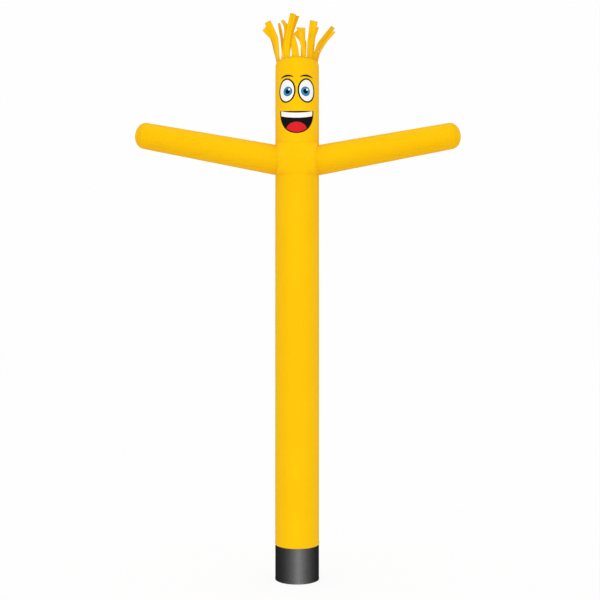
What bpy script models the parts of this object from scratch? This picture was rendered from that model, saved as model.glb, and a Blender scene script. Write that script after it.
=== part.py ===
"""Inflatable air dancer: a standing tube of yellow ripstop cloth on a black
base sleeve, with a chest band, two tapered arms with round end panels, a round
crown panel and a fringe of hair strips sewn round the rim.

Metres, +Z up.  The front faces -Y, the arms run along +X and -X.  The origin
is on the ground in the middle of the base sleeve.
"""
import math

import bmesh
import bpy
from mathutils import Matrix, Vector

# ---------------------------------------------------------------- dimensions
GAP = 0.0003              # space left between neighbouring pieces
CLOTH = 0.002             # thickness of the yellow cloth solids
SLEEVE_CLOTH = 0.003      # thickness of the heavier base sleeve, with its hems

TUBE_R = 0.2286           # 18 in tube
FOOT_R = 0.2276           # the tube is drawn in a little where the sleeve holds it
SLEEVE_R = 0.2295
SLEEVE_TOP = 0.360

CHEST_LOW_FRONT = 4.221   # lower chest seam, at the front and at the arms
CHEST_LOW_SIDE = 4.232
CHEST_TOP_FRONT = 4.544   # upper chest seam
CHEST_TOP_SIDE = 4.590
CHEST_SWELL = 0.045       # how far the band swells towards the arms

RIM_Z = 5.441             # top edge of the head
RIM_R = 0.2195
SHOULDER = 0.090          # height over which the head rounds in to its rim
CROWN_RISE = 0.036        # dome of the crown panel, puffed up by the air

ARM_RISE = {-1: math.radians(10.70), 1: math.radians(10.20)}   # left arm, right arm
ARM_ROOT_Z = {-1: 4.405, 1: 4.401}   # height of an arm's axis at the tube's side
ARM_ROOT_R = 0.1560
ARM_END_R = 0.1368        # where the rounding of the end begins
ARM_ROOT_T = 0.2324       # distances along the arm from the tube's middle
ARM_END_T = 1.6505
ARM_END_DEPTH = 0.103     # length of the rounded end
ARM_CAP_AT = 0.053        # how far along the rounding the end panel is sewn
CAP_SEAM_FLAT = 0.010     # straight cloth on each side of that seam

HAIR_CUP = 0.010          # depth of the channel a strip forms halfway up

AROUND = 44               # facets round the body
ARM_AROUND = 28           # facets round an arm

# one row for each hair strip:
# angle    place on the rim, degrees from the front towards +X
# base     width at the rim, where the strip is gathered into the seam
# length   cut length above the rim
# start    sideways slope at the rim, degrees from upright
# turn     share of the length at which it bends
# soft     half the share of the length that the bend takes
# heading  sideways slope past the bend, degrees from upright
# lean     backward slope at the tip, degrees; it grows from none at the rim
# facing   plan angle of the strip's width at the tip, 0 seen full from the front
# width    width at the tip
HAIR_COLUMNS = ("name", "angle", "base", "length", "start", "turn", "soft", "heading", "lean", "facing", "width")
HAIR = [
    ("hair_01", -66.6, 0.085, 0.421, -9.0, 0.58, 0.15, -24.0, -13.1, -14, 0.070),
    ("hair_02", -43.3, 0.043, 0.414, 9.3, 0.80, 0.17, -40.8, -10.0, 43, 0.062),
    ("hair_03", -26.3, 0.061, 0.465, -5.9, 0.29, 0.26, 13.3, -4.0, 20, 0.066),
    ("hair_04", -3.3, 0.077, 0.451, 0.8, 0.15, 0.24, -15.9, 43.7, -56, 0.061),
    ("hair_05", 20.8, 0.045, 0.387, 0.3, 0.14, 0.27, -6.9, 38.9, 9, 0.096),
    ("hair_06", 39.2, 0.073, 0.398, 1.3, 0.26, 0.40, 7.7, 2.0, 16, 0.084),
    ("hair_07", 59.9, 0.068, 0.391, 12.7, 0.34, 0.30, 39.8, -15.5, 43, 0.064),
    ("hair_08", 106.0, 0.074, 0.406, 5.3, 0.27, 0.40, 35.6, 0.7, 138, 0.078),
    ("hair_09", 132.2, 0.061, 0.432, 0.3, 0.72, 0.16, 16.1, -6.7, 154, 0.086),
    ("hair_10", 162.4, 0.057, 0.426, -0.4, 0.68, 0.12, -41.8, -4.3, 201, 0.070),
    ("hair_11", -149.2, 0.043, 0.567, 2.7, 0.64, 0.44, 27.8, -36.8, -161, 0.072),
    ("hair_12", -136.3, 0.042, 0.466, -4.3, 0.60, 0.44, -8.7, -20.3, -121, 0.056),
    ("hair_13", -105.1, 0.063, 0.431, -10.5, 0.68, 0.08, -40.9, 2.1, -190, 0.058),
]

YELLOW = (0.984, 0.592, 0.006, 1.0)
BLACK = (0.030, 0.030, 0.031, 1.0)


# ------------------------------------------------------------------- scene
def clear_scene():
    for ob in list(bpy.data.objects):
        bpy.data.objects.remove(ob, do_unlink=True)
    for mesh in list(bpy.data.meshes):
        bpy.data.meshes.remove(mesh)


def new_collection(name):
    col = bpy.data.collections.new(name)
    bpy.context.scene.collection.children.link(col)
    return col


def cloth_material(name, colour, roughness):
    mat = bpy.data.materials.new(name)
    mat.use_nodes = True
    bsdf = mat.node_tree.nodes["Principled BSDF"]
    bsdf.inputs["Base Color"].default_value = colour
    bsdf.inputs["Roughness"].default_value = roughness
    bsdf.inputs["Metallic"].default_value = 0.0
    mat.diffuse_color = colour
    return mat


# ------------------------------------------------------------ cloth helpers
def sheet_mesh(name, across, along, place, closed):
    """A flat grid of cloth laid where place(u, v) says, u and v from 0 to 1.
    A closed sheet is rolled so that u = 0 meets u = 1."""
    bm = bmesh.new()
    bmesh.ops.create_grid(bm, x_segments=across, y_segments=along, size=0.5)
    for v in bm.verts:
        v.co = place(v.co.x + 0.5, v.co.y + 0.5)
    if closed:
        bmesh.ops.remove_doubles(bm, verts=bm.verts, dist=0.00005)
    mesh = bpy.data.meshes.new(name)
    bm.to_mesh(mesh)
    bm.free()
    return mesh


def add_piece(name, mesh, material, collection):
    mesh.materials.clear()
    mesh.materials.append(material)
    mesh.shade_smooth()
    mesh.set_sharp_from_angle(angle=math.radians(40))
    ob = bpy.data.objects.new(name, mesh)
    collection.objects.link(ob)
    return ob


def thicken(ob, thickness, offset):
    mod = ob.modifiers.new("Cloth", "SOLIDIFY")
    mod.thickness = thickness
    mod.offset = offset
    mod.use_even_offset = True
    return mod


def settled_mesh(ob, name):
    """The object's mesh with its modifiers applied."""
    bpy.context.view_layer.update()
    shown = ob.evaluated_get(bpy.context.evaluated_depsgraph_get())
    mesh = bpy.data.meshes.new_from_object(shown)
    mesh.name = name
    return mesh


# --------------------------------------------------------------- the tubes
def round_point(radius, angle, z):
    """angle runs from the front (-Y) towards +X."""
    return Vector((radius * math.sin(angle), -radius * math.cos(angle), z))


def seam_height(front, side, angle):
    """A chest seam: level across the front and back, drawn up at the arms."""
    soft = 0.18
    full = math.sqrt(1.0 + soft * soft) - soft
    share = (math.sqrt(math.cos(angle) ** 2 + soft * soft) - soft) / full
    return side + (front - side) * share


def chest_low(angle):
    return seam_height(CHEST_LOW_FRONT, CHEST_LOW_SIDE, angle)


def chest_top(angle):
    return seam_height(CHEST_TOP_FRONT, CHEST_TOP_SIDE, angle)


def chest_radius(angle, z):
    low, top = chest_low(angle), chest_top(angle)
    up = min(max((z - low) / (top - low), 0.0), 1.0)
    return TUBE_R + CHEST_SWELL * math.sin(angle) ** 2 * math.sin(math.pi * up) ** 2


def head_radius(z):
    into = max(0.0, (z - (RIM_Z - SHOULDER)) / SHOULDER)
    return TUBE_R - (TUBE_R - RIM_R) * into ** 2


def body_radius(z):
    """The lower tube widens a little over its first half metre."""
    share = min(max((z - SLEEVE_TOP) / 0.6, 0.0), 1.0)
    return FOOT_R + (TUBE_R - FOOT_R) * share * share * (3 - 2 * share)


def tube(name, low, top, radius, rows, thickness, material, collection):
    """A rolled sheet between two edges, low(angle) and top(angle).  rows are
    the heights of its rings as shares of the whole."""
    def place(u, v):
        angle = 2 * math.pi * u
        share = rows[round(v * (len(rows) - 1))]
        z = low(angle) + (top(angle) - low(angle)) * share
        return round_point(radius(angle, z), angle, z)
    mesh = sheet_mesh(name, AROUND, len(rows) - 1, place, True)
    ob = add_piece(name, mesh, material, collection)
    thicken(ob, thickness, -1.0)
    return ob


# --------------------------------------------------------------- the arms
def arm_frame(side):
    """Axis point at x = 0, axis direction and the two directions across it."""
    rise = ARM_RISE[side]
    axis = Vector((side * math.cos(rise), 0.0, math.sin(rise)))
    start = Vector((0.0, 0.0, ARM_ROOT_Z[side] - math.tan(rise) * TUBE_R))
    back = Vector((0.0, 1.0, 0.0))
    return start, axis, back, axis.cross(back)


def rounded_end(d):
    """Radius at a distance d past the start of the rounding."""
    return ARM_END_R * math.sqrt(max(0.0, 1.0 - (d / ARM_END_DEPTH) ** 2))


def arm_radius(t):
    """Radius of an arm at a distance t along its axis from the body's axis."""
    if t <= ARM_END_T:
        share = (t - ARM_ROOT_T) / (ARM_END_T - ARM_ROOT_T)
        return ARM_ROOT_R + (ARM_END_R - ARM_ROOT_R) * share
    d = t - ARM_END_T
    if abs(d - ARM_CAP_AT) <= CAP_SEAM_FLAT:
        r0 = rounded_end(ARM_CAP_AT - CAP_SEAM_FLAT)
        r1 = rounded_end(ARM_CAP_AT + CAP_SEAM_FLAT)
        return r0 + (r1 - r0) * (d - ARM_CAP_AT + CAP_SEAM_FLAT) / (2 * CAP_SEAM_FLAT)
    return rounded_end(d)


def inside_chest(point, depth):
    angle = math.atan2(point.x, -point.y)
    return math.hypot(point.x, point.y) < chest_radius(angle, point.z) - depth


def arm_root(side, phi):
    """Distance along the axis at which the arm's cloth leaves the chest
    band's inner face."""
    start, axis, back, up = arm_frame(side)
    ray = back * math.cos(phi) + up * math.sin(phi)
    near, far = 0.05, 0.40
    for _ in range(40):
        mid = 0.5 * (near + far)
        if inside_chest(start + axis * mid + ray * ARM_ROOT_R, CLOTH):
            near = mid
        else:
            far = mid
    return 0.5 * (near + far)


def arm(name, side, material, collection):
    start, axis, back, up = arm_frame(side)
    end = ARM_END_T
    seam = end + ARM_CAP_AT - 0.5 * GAP
    rounding = [0.022, ARM_CAP_AT - CAP_SEAM_FLAT]
    plain = 6
    rows = plain + len(rounding) + 1

    def place(u, v):
        phi = 2 * math.pi * u
        row = round(v * rows)
        if row <= plain:
            root = arm_root(side, phi)
            t = root + (end - root) * row / plain
            r = arm_radius(t) if row else ARM_ROOT_R
        else:
            ring = row - plain - 1
            t = end + rounding[ring] if ring < len(rounding) else seam
            r = arm_radius(t)
        return start + axis * t + back * (r * math.cos(phi)) + up * (r * math.sin(phi))
    mesh = sheet_mesh(name, ARM_AROUND, rows, place, True)
    ob = add_piece(name, mesh, material, collection)
    thicken(ob, CLOTH, -1.0)
    return ob


def arm_cap(name, side, material, collection):
    """The end panel: its profile is turned round the arm's axis."""
    end = ARM_END_T
    seam = end + ARM_CAP_AT + 0.5 * GAP
    stations = [end + ARM_CAP_AT + CAP_SEAM_FLAT, end + 0.080, end + 0.095]
    profile = [(0.0, end + ARM_END_DEPTH)]
    profile += [(arm_radius(t), t) for t in reversed(stations)]
    profile += [(arm_radius(seam), seam)]
    bm = bmesh.new()
    verts = [bm.verts.new((r, 0.0, t)) for r, t in profile]
    for a, b in zip(verts, verts[1:]):
        bm.edges.new((a, b))
    line = bpy.data.meshes.new(name + "_line")
    bm.to_mesh(line)
    bm.free()
    ob = bpy.data.objects.new(name + "_turned", line)
    collection.objects.link(ob)
    turn = ob.modifiers.new("Turn", "SCREW")
    turn.axis = "Z"
    turn.angle = 2 * math.pi
    turn.steps = turn.render_steps = ARM_AROUND
    turn.use_merge_vertices = True
    turn.merge_threshold = 0.00005
    mesh = settled_mesh(ob, name)
    bpy.data.objects.remove(ob, do_unlink=True)
    start, axis, back, up = arm_frame(side)
    turnway = Matrix((back, up, axis)).transposed().to_4x4()
    mesh.transform(Matrix.Translation(start) @ turnway)
    ob = add_piece(name, mesh, material, collection)
    thicken(ob, CLOTH, -1.0)
    return ob


def arm_cutter(name, side, collection):
    """A plain bar along an arm's axis, a hair wider than the arm's root."""
    start, axis, back, up = arm_frame(side)
    bm = bmesh.new()
    bmesh.ops.create_cone(bm, cap_ends=True, cap_tris=False, segments=ARM_AROUND,
                          radius1=ARM_ROOT_R + 0.0006, radius2=ARM_ROOT_R + 0.0006, depth=0.5)
    mesh = bpy.data.meshes.new(name)
    bm.to_mesh(mesh)
    bm.free()
    # the primitive's first corner is on its own +Y; turned so that the
    # corners line up with the arm's
    turnway = Matrix((back, up, axis)).transposed().to_4x4()
    mesh.transform(Matrix.Translation(start + axis * 0.30) @ turnway)
    ob = bpy.data.objects.new(name, mesh)
    collection.objects.link(ob)
    ob.hide_render = True
    ob.display_type = "WIRE"
    return ob


# --------------------------------------------------------------- the crown
def crown(name, material, collection):
    """A shallow round panel inside the rim, turned from its section."""
    rim = RIM_R - CLOTH - 0.0006
    top = RIM_Z - 0.0006
    rings = 6
    upper = [(rim * k / rings, top + CROWN_RISE * (1 - (k / rings) ** 5)) for k in range(rings + 1)]
    under = [(r, z - CLOTH) for r, z in reversed(upper)]
    bm = bmesh.new()
    verts = [bm.verts.new((r, 0.0, z)) for r, z in upper + under]
    for a, b in zip(verts, verts[1:]):
        bm.edges.new((a, b))
    line = bpy.data.meshes.new(name)
    bm.to_mesh(line)
    bm.free()
    ob = add_piece(name, line, material, collection)
    turn = ob.modifiers.new("Turn", "SCREW")
    turn.axis = "Z"
    turn.angle = 2 * math.pi
    turn.steps = turn.render_steps = AROUND
    turn.use_merge_vertices = True
    turn.merge_threshold = 0.00005
    return ob


# ---------------------------------------------------------------- the hair
def strip_line(col, steps=40):
    """Points and directions along the middle of a strip, walked from the rim."""
    angle = math.radians(col["angle"])
    points = [round_point(RIM_R - 0.5 * CLOTH, angle, RIM_Z + 3 * GAP)]
    ways = [Vector((0.0, 0.0, 1.0))]
    for k in range(steps):
        s = (k + 0.5) / steps
        bend = min(max((s - col["turn"] + col["soft"]) / (2 * col["soft"]), 0.0), 1.0)
        bend = bend * bend * (3 - 2 * bend)
        slope = math.radians(col["start"] + (col["heading"] - col["start"]) * bend)
        back = math.radians(col["lean"] * s)
        way = Vector((math.sin(slope) * math.cos(back), math.sin(back), math.cos(slope) * math.cos(back)))
        points.append(points[-1] + way * (col["length"] / steps))
        ways.append(way)
    return points, ways


def strip(row, material, collection):
    """A flat strip: upright where it is sewn into the rim, then bending to
    its tip, its section a shallow channel that opens out."""
    col = dict(zip(HAIR_COLUMNS, row))
    angle = math.radians(col["angle"])
    facing = math.radians(col["facing"])
    outward = Vector((math.sin(angle), -math.cos(angle), 0.0))
    points, ways = strip_line(col)
    steps, long_rows, across = len(points) - 1, 10, 3

    def place(u, v):
        k = round(v * steps)
        s = k / steps
        ease = s * s * (3 - 2 * s)
        plan = angle + (facing - angle) * (0.7 * s + 0.3 * ease)
        side = Vector((math.cos(plan), math.sin(plan), 0.0))
        side = (side - ways[k] * side.dot(ways[k])).normalized()
        flat = ways[k].cross(side) if k else -outward
        width = col["base"] + (col["width"] - col["base"]) * s ** 1.5
        x = (u - 0.5) * width
        edge = (2 * (u - 0.5)) ** 2
        rim_curve = 0.5 * (0.5 * col["base"]) ** 2 / RIM_R
        cup = rim_curve * (1 - ease) + HAIR_CUP * math.sin(math.pi * min(1.0, 0.85 * s)) ** 2
        return points[k] + side * x + flat * (cup * edge)
    mesh = sheet_mesh(col["name"], across, long_rows, place, False)
    ob = add_piece(col["name"], mesh, material, collection)
    thicken(ob, CLOTH, 0.0)
    return ob


# ------------------------------------------------------------------- build
def main():
    clear_scene()
    parts = new_collection("air_dancer")
    guides = new_collection("cutters")
    yellow = {}

    def cloth(name):
        yellow[name] = cloth_material(name + "_cloth", YELLOW, 0.6)
        return yellow[name]

    tube("base_sleeve", lambda a: 0.0, lambda a: SLEEVE_TOP - GAP, lambda a, z: SLEEVE_R,
         [0.0, 0.5, 1.0], SLEEVE_CLOTH, cloth_material("base_sleeve_cloth", BLACK, 0.5), parts)
    tube("lower_body", lambda a: SLEEVE_TOP, lambda a: chest_low(a) - GAP, lambda a, z: body_radius(z),
         [0.0, 0.08, 0.16, 0.45, 0.72, 1.0], CLOTH, cloth("lower_body"), parts)
    chest = tube("chest_band", chest_low, lambda a: chest_top(a) - GAP, chest_radius,
                 [k / 8 for k in range(9)], CLOTH, cloth("chest_band"), parts)
    tube("head_tube", chest_top, lambda a: RIM_Z, lambda a, z: head_radius(z),
         [0.0, 0.45, 0.88, 0.92, 0.96, 1.0], CLOTH, cloth("head_tube"), parts)
    crown("crown", cloth("crown"), parts)

    for side, word in ((-1, "left"), (1, "right")):
        cutter = arm_cutter("opening_" + word, side, guides)
        cut = chest.modifiers.new("Opening " + word, "BOOLEAN")
        cut.operation = "DIFFERENCE"
        cut.solver = "EXACT"
        cut.object = cutter
        arm("arm_" + word, side, cloth("arm_" + word), parts)
        arm_cap("arm_cap_" + word, side, cloth("arm_cap_" + word), parts)

    for row in HAIR:
        strip(row, cloth(row[0]), parts)
    bpy.context.view_layer.update()


main()
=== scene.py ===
"""The looks of an inflatable air dancer: every cloth piece as a thin sewn sheet
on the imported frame, with its seams, hems, stitches, gathers and printed face."""
import math

import bpy
import numpy as np
from mathutils import Matrix, Vector
from mathutils.geometry import delaunay_2d_cdt


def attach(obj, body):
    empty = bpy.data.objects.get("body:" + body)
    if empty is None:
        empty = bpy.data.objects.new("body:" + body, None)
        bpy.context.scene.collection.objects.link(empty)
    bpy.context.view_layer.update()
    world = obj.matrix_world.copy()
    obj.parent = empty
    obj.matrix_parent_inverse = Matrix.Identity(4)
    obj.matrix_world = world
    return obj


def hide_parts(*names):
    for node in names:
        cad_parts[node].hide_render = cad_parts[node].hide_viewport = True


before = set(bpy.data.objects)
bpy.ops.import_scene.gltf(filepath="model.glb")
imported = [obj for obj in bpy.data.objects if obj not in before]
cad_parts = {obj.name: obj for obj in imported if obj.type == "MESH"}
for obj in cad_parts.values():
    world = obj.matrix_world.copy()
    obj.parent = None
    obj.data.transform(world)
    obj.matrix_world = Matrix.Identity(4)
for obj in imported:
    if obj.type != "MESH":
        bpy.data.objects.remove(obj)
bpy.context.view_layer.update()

# ------------------------------------------------ sizes shared with the frame
TUBE_R = 0.2286
FOOT_R = 0.2276
SLEEVE_R = 0.2295
SLEEVE_TOP = 0.360
CHEST_LOW_FRONT, CHEST_LOW_SIDE = 4.221, 4.232
CHEST_TOP_FRONT, CHEST_TOP_SIDE = 4.544, 4.590
CHEST_SWELL = 0.045
RIM_Z, RIM_R, SHOULDER = 5.441, 0.2195, 0.090
CROWN_RISE = 0.036
ARM_RISE = {-1: math.radians(10.70), 1: math.radians(10.20)}
ARM_ROOT_Z, ARM_ROOT_R = {-1: 4.405, 1: 4.401}, 0.1560
ARM_END_R, ARM_END_DEPTH = 0.1368, 0.103
ARM_ROOT, ARM_END = 0.2324, 1.6505
ARM_CAP_AT, CAP_SEAM_FLAT = 0.053, 0.010
HAIR_CUP = 0.010
HAIR_COLUMNS = ("name", "angle", "base", "length", "start", "turn", "soft", "heading", "lean", "facing", "width")
HAIR = [
    ("hair_01", -66.6, 0.085, 0.421, -9.0, 0.58, 0.15, -24.0, -13.1, -14, 0.070),
    ("hair_02", -43.3, 0.043, 0.414, 9.3, 0.80, 0.17, -40.8, -10.0, 43, 0.062),
    ("hair_03", -26.3, 0.061, 0.465, -5.9, 0.29, 0.26, 13.3, -4.0, 20, 0.066),
    ("hair_04", -3.3, 0.077, 0.451, 0.8, 0.15, 0.24, -15.9, 43.7, -56, 0.061),
    ("hair_05", 20.8, 0.045, 0.387, 0.3, 0.14, 0.27, -6.9, 38.9, 9, 0.096),
    ("hair_06", 39.2, 0.073, 0.398, 1.3, 0.26, 0.40, 7.7, 2.0, 16, 0.084),
    ("hair_07", 59.9, 0.068, 0.391, 12.7, 0.34, 0.30, 39.8, -15.5, 43, 0.064),
    ("hair_08", 106.0, 0.074, 0.406, 5.3, 0.27, 0.40, 35.6, 0.7, 138, 0.078),
    ("hair_09", 132.2, 0.061, 0.432, 0.3, 0.72, 0.16, 16.1, -6.7, 154, 0.086),
    ("hair_10", 162.4, 0.057, 0.426, -0.4, 0.68, 0.12, -41.8, -4.3, 201, 0.070),
    ("hair_11", -149.2, 0.043, 0.567, 2.7, 0.64, 0.44, 27.8, -36.8, -161, 0.072),
    ("hair_12", -136.3, 0.042, 0.466, -4.3, 0.60, 0.44, -8.7, -20.3, -121, 0.056),
    ("hair_13", -105.1, 0.063, 0.431, -10.5, 0.68, 0.08, -40.9, 2.1, -190, 0.058),
]

# ------------------------------------------------------------ sewing details
CLOTH = 0.0010            # shown thickness of the ripstop, with its coating
HEAVY = 0.0016            # shown thickness of the base sleeve
FELL = 0.012              # width of a felled seam's band
FELL_RISE = 0.0006
STRETCH = 0.0030          # how far the air stretches the tube past its cut
ARM_STRETCH = 0.0014
STITCH_PITCH = 0.0050
STITCH_LONG = 0.0036
STITCH_WIDE = 0.00085


def smooth(x, low, high):
    t = np.clip((x - low) / (high - low), 0.0, 1.0)
    return t * t * (3 - 2 * t)


def ripple(a, seed, low, high, count=9):
    """An uneven wave round a girth, a in radians, of about unit size."""
    rng = np.random.default_rng(seed)
    total, power = 0.0, 0.0
    for _ in range(count):
        k, phase, size = rng.integers(low, high + 1), rng.uniform(0, 2 * math.pi), rng.uniform(0.5, 1.0)
        total = total + size * np.cos(k * a + phase)
        power += size * size / 2
    return total / math.sqrt(power)


def creases(a, seed, low, high, sparse=0.35):
    """Round a girth: mostly a gentle swell, with narrow dips between."""
    r = ripple(a, seed, low, high)
    return 0.30 * r - 1.25 * np.clip(r - sparse, 0.0, None)


def gather(d, reach, start=0.004):
    """How strongly gathers stand at a distance d from their seam."""
    return d / (d + start) * np.exp(-d / reach)


def fell(d, width=FELL, rise=FELL_RISE):
    """The raised band of a felled seam."""
    return rise * (1 - smooth(d, width - 0.0003, width + 0.0003))


# ---------------------------------------------------------- frame surfaces
def seam_height(front, side, a):
    soft = 0.18
    full = math.sqrt(1.0 + soft * soft) - soft
    share = (np.sqrt(np.cos(a) ** 2 + soft * soft) - soft) / full
    return side + (front - side) * share


def chest_low(a):
    return seam_height(CHEST_LOW_FRONT, CHEST_LOW_SIDE, a)


def chest_top(a):
    return seam_height(CHEST_TOP_FRONT, CHEST_TOP_SIDE, a)


def chest_radius(a, z):
    low, top = chest_low(a), chest_top(a)
    up = np.clip((z - low) / (top - low), 0.0, 1.0)
    return TUBE_R + CHEST_SWELL * np.sin(a) ** 2 * np.sin(math.pi * up) ** 2


def head_radius(z):
    into = np.clip((z - (RIM_Z - SHOULDER)) / SHOULDER, 0.0, None)
    return TUBE_R - (TUBE_R - RIM_R) * into ** 2


def body_radius(z):
    share = smooth(z, SLEEVE_TOP, SLEEVE_TOP + 0.6)
    return FOOT_R + (TUBE_R - FOOT_R) * share


def round_points(r, a, z):
    return np.stack([r * np.sin(a), -r * np.cos(a), z + 0 * a], -1)


def back_distance(a):
    """Distance round the tube from its seam down the back."""
    return TUBE_R * np.abs(np.mod(a, 2 * math.pi) - math.pi)


def back_seam(a):
    return fell(back_distance(a), 0.006, 0.0005) - 0.0012 * np.exp(-(back_distance(a) / 0.010) ** 2)


# ------------------------------------------------------ the sheets in detail
def sleeve_relief(a, z):
    """The heavy sleeve: a folded top edge, drawn in where the tube is sewn to
    it, and a deep bottom hem."""
    top, r = SLEEVE_TOP - z, 0.0 * a
    r = r - 0.0034 * np.exp(-(top / 0.016) ** 2)
    r = r + 0.0006 * np.exp(-((top - 0.031) / 0.009) ** 2)
    r = r - 0.0006 * smooth(top, 0.0262, 0.0268)
    r = r + 0.0010 * (1 - smooth(z, 0.0250, 0.0256)) - 0.0012 * np.exp(-((z - 0.028) / 0.006) ** 2)
    r = r + 0.0011 * creases(a, 21, 9, 26) * gather(top, 0.10, 0.02)
    r = r + 0.0007 * creases(a, 22, 14, 34) * gather(z, 0.05, 0.01)
    r = r + 0.0004 * ripple(a, 23, 60, 110) * np.exp(-np.abs(z - 0.027) / 0.010)
    return r + back_seam(a) * (1 - 0.4 * np.exp(-z / 0.02))


def sleeve_surface(a, z):
    return round_points(SLEEVE_R + sleeve_relief(a, z), a, z)


def sides(a):
    """How far round to an arm: 0 at front and back, 1 under the arms."""
    return smooth(np.abs(np.sin(a)), 0.30, 0.78)


def body_relief(a, z):
    """The long tube: swelling just over the sleeve, gathered a little at both
    ends, with slow shallow folds down its length."""
    up, down = z - SLEEVE_TOP, chest_low(a) - z
    arms = sides(a)
    r = 0.0042 * np.exp(-((up - 0.013) / 0.012) ** 2) - 0.0030 * np.exp(-(up / 0.004) ** 2)
    r = r + 0.0012 * creases(a, 31, 22, 52) * gather(up, 0.045, 0.006)
    r = r + 0.0006 * ripple(a, 32, 5, 14) * gather(up, 0.28, 0.05)
    r = r + (0.25 + 0.75 * arms) * fell(down) - (0.0003 + 0.0020 * arms) * np.exp(-(down / 0.012) ** 2)
    r = r + (0.0002 + 0.0022 * arms) * creases(a, 33, 24, 58) * gather(down, 0.036)
    r = r + 0.0013 * arms * ripple(a, 34, 7, 16) * gather(down, 0.14, 0.03)
    slow = 0.5 + 0.5 * np.cos(2.1 * z + 1.3 * np.sin(a))
    r = r + 0.00035 * ripple(a, 35, 3, 8) * slow + 0.00012 * ripple(a, 36, 12, 22) * (1 - slow)
    r = r + 0.00025 * np.sin(8.3 * z + 2.0 * np.cos(a + 0.4)) * np.cos(3.1 * z)
    return r + back_seam(a)


def body_surface(a, z):
    up = z - SLEEVE_TOP
    full = STRETCH * (0.5 + 0.5 * smooth(up, 0.2, 3.0)) * smooth(up, 0.0, 0.02)
    return round_points(body_radius(z) + body_relief(a, z) + full, a, z)


def arm_frame(side):
    rise = ARM_RISE[side]
    axis = np.array([side * math.cos(rise), 0.0, math.sin(rise)])
    start = np.array([0.0, 0.0, ARM_ROOT_Z[side] - math.tan(rise) * TUBE_R])
    back = np.array([0.0, 1.0, 0.0])
    return start, axis, back, np.cross(axis, back)


def rounded_end(d):
    return ARM_END_R * np.sqrt(np.clip(1.0 - (d / ARM_END_DEPTH) ** 2, 0.0, 1.0))


def arm_radius(t):
    along = ARM_ROOT_R + (ARM_END_R - ARM_ROOT_R) * (t - ARM_ROOT) / (ARM_END - ARM_ROOT)
    d = t - ARM_END
    r0, r1 = rounded_end(ARM_CAP_AT - CAP_SEAM_FLAT), rounded_end(ARM_CAP_AT + CAP_SEAM_FLAT)
    flat = r0 + (r1 - r0) * (d - ARM_CAP_AT + CAP_SEAM_FLAT) / (2 * CAP_SEAM_FLAT)
    end = np.where(np.abs(d - ARM_CAP_AT) <= CAP_SEAM_FLAT, flat, rounded_end(np.clip(d, 0.0, None)))
    return np.where(d <= 0, along, end)


def arm_root(side, phi):
    """Distance along the axis at which the arm's cloth meets the chest."""
    start, axis, back, up = arm_frame(side)
    ring = np.cos(phi)[..., None] * back + np.sin(phi)[..., None] * up
    near, far = np.full(phi.shape, 0.05), np.full(phi.shape, 0.40)
    for _ in range(44):
        mid = 0.5 * (near + far)
        p = start + axis * mid[..., None] + ring * ARM_ROOT_R
        a = np.arctan2(p[..., 0], -p[..., 1])
        inside = np.hypot(p[..., 0], p[..., 1]) < chest_radius(a, p[..., 2]) - 0.0004
        near, far = np.where(inside, mid, near), np.where(inside, far, mid)
    return 0.5 * (near + far)


# short deep tucks where the arm is eased into its opening
# at      place round the arm's root, degrees: 0 back, 90 top, 180 front, 270 under
# deep    depth, metres
# wide    half width round the root, degrees
# long    reach along the cloth, metres
TUCK_COLUMNS = ("at", "deep", "wide", "long")
TUCKS = [
    (96, 0.0019, 3.0, 0.040), (118, 0.0023, 3.2, 0.052), (137, 0.0024, 2.4, 0.034),
    (151, 0.0044, 2.6, 0.030), (158, 0.0036, 2.2, 0.042), (180, 0.0034, 2.3, 0.024),
    (199, 0.0024, 2.2, 0.026), (214, 0.0046, 2.6, 0.036), (233, 0.0052, 3.0, 0.050),
    (247, 0.0048, 2.8, 0.062), (262, 0.0052, 3.2, 0.070), (279, 0.0048, 3.0, 0.058),
    (301, 0.0040, 3.0, 0.044), (326, 0.0032, 2.8, 0.034), (352, 0.0026, 2.6, 0.028),
    (21, 0.0030, 2.6, 0.032), (47, 0.0034, 2.8, 0.040), (72, 0.0024, 2.8, 0.040),
]


def tucks(phi, d, shift=0.0):
    """Narrow dips that start at the root seam and fade with distance d."""
    deg = np.degrees(phi)
    total = 0.0 * phi * d
    for row in TUCKS:
        col = dict(zip(TUCK_COLUMNS, row))
        off = np.mod(deg - col["at"] - shift + 180.0, 360.0) - 180.0
        spread = col["wide"] * (1 + 0.5 * d / col["long"])
        total = total - col["deep"] * np.exp(-(off / spread) ** 2) * gather(d, col["long"], 0.003)
        total = total + 0.30 * col["deep"] * np.exp(-(off / (3.2 * spread)) ** 2) * gather(d, col["long"], 0.006)
    return total


def opening_distance(side, p):
    """For points on the chest: distance from the arm's opening, and the place
    round it."""
    start, axis, back, up = arm_frame(side)
    q = p - start
    phi = np.arctan2(q @ up, q @ back)
    away = np.hypot(q @ up, q @ back) - ARM_ROOT_R
    facing = (q @ axis) > 0
    return np.where(facing, np.clip(away, 0.0, None), 9.0), side * phi


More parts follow.
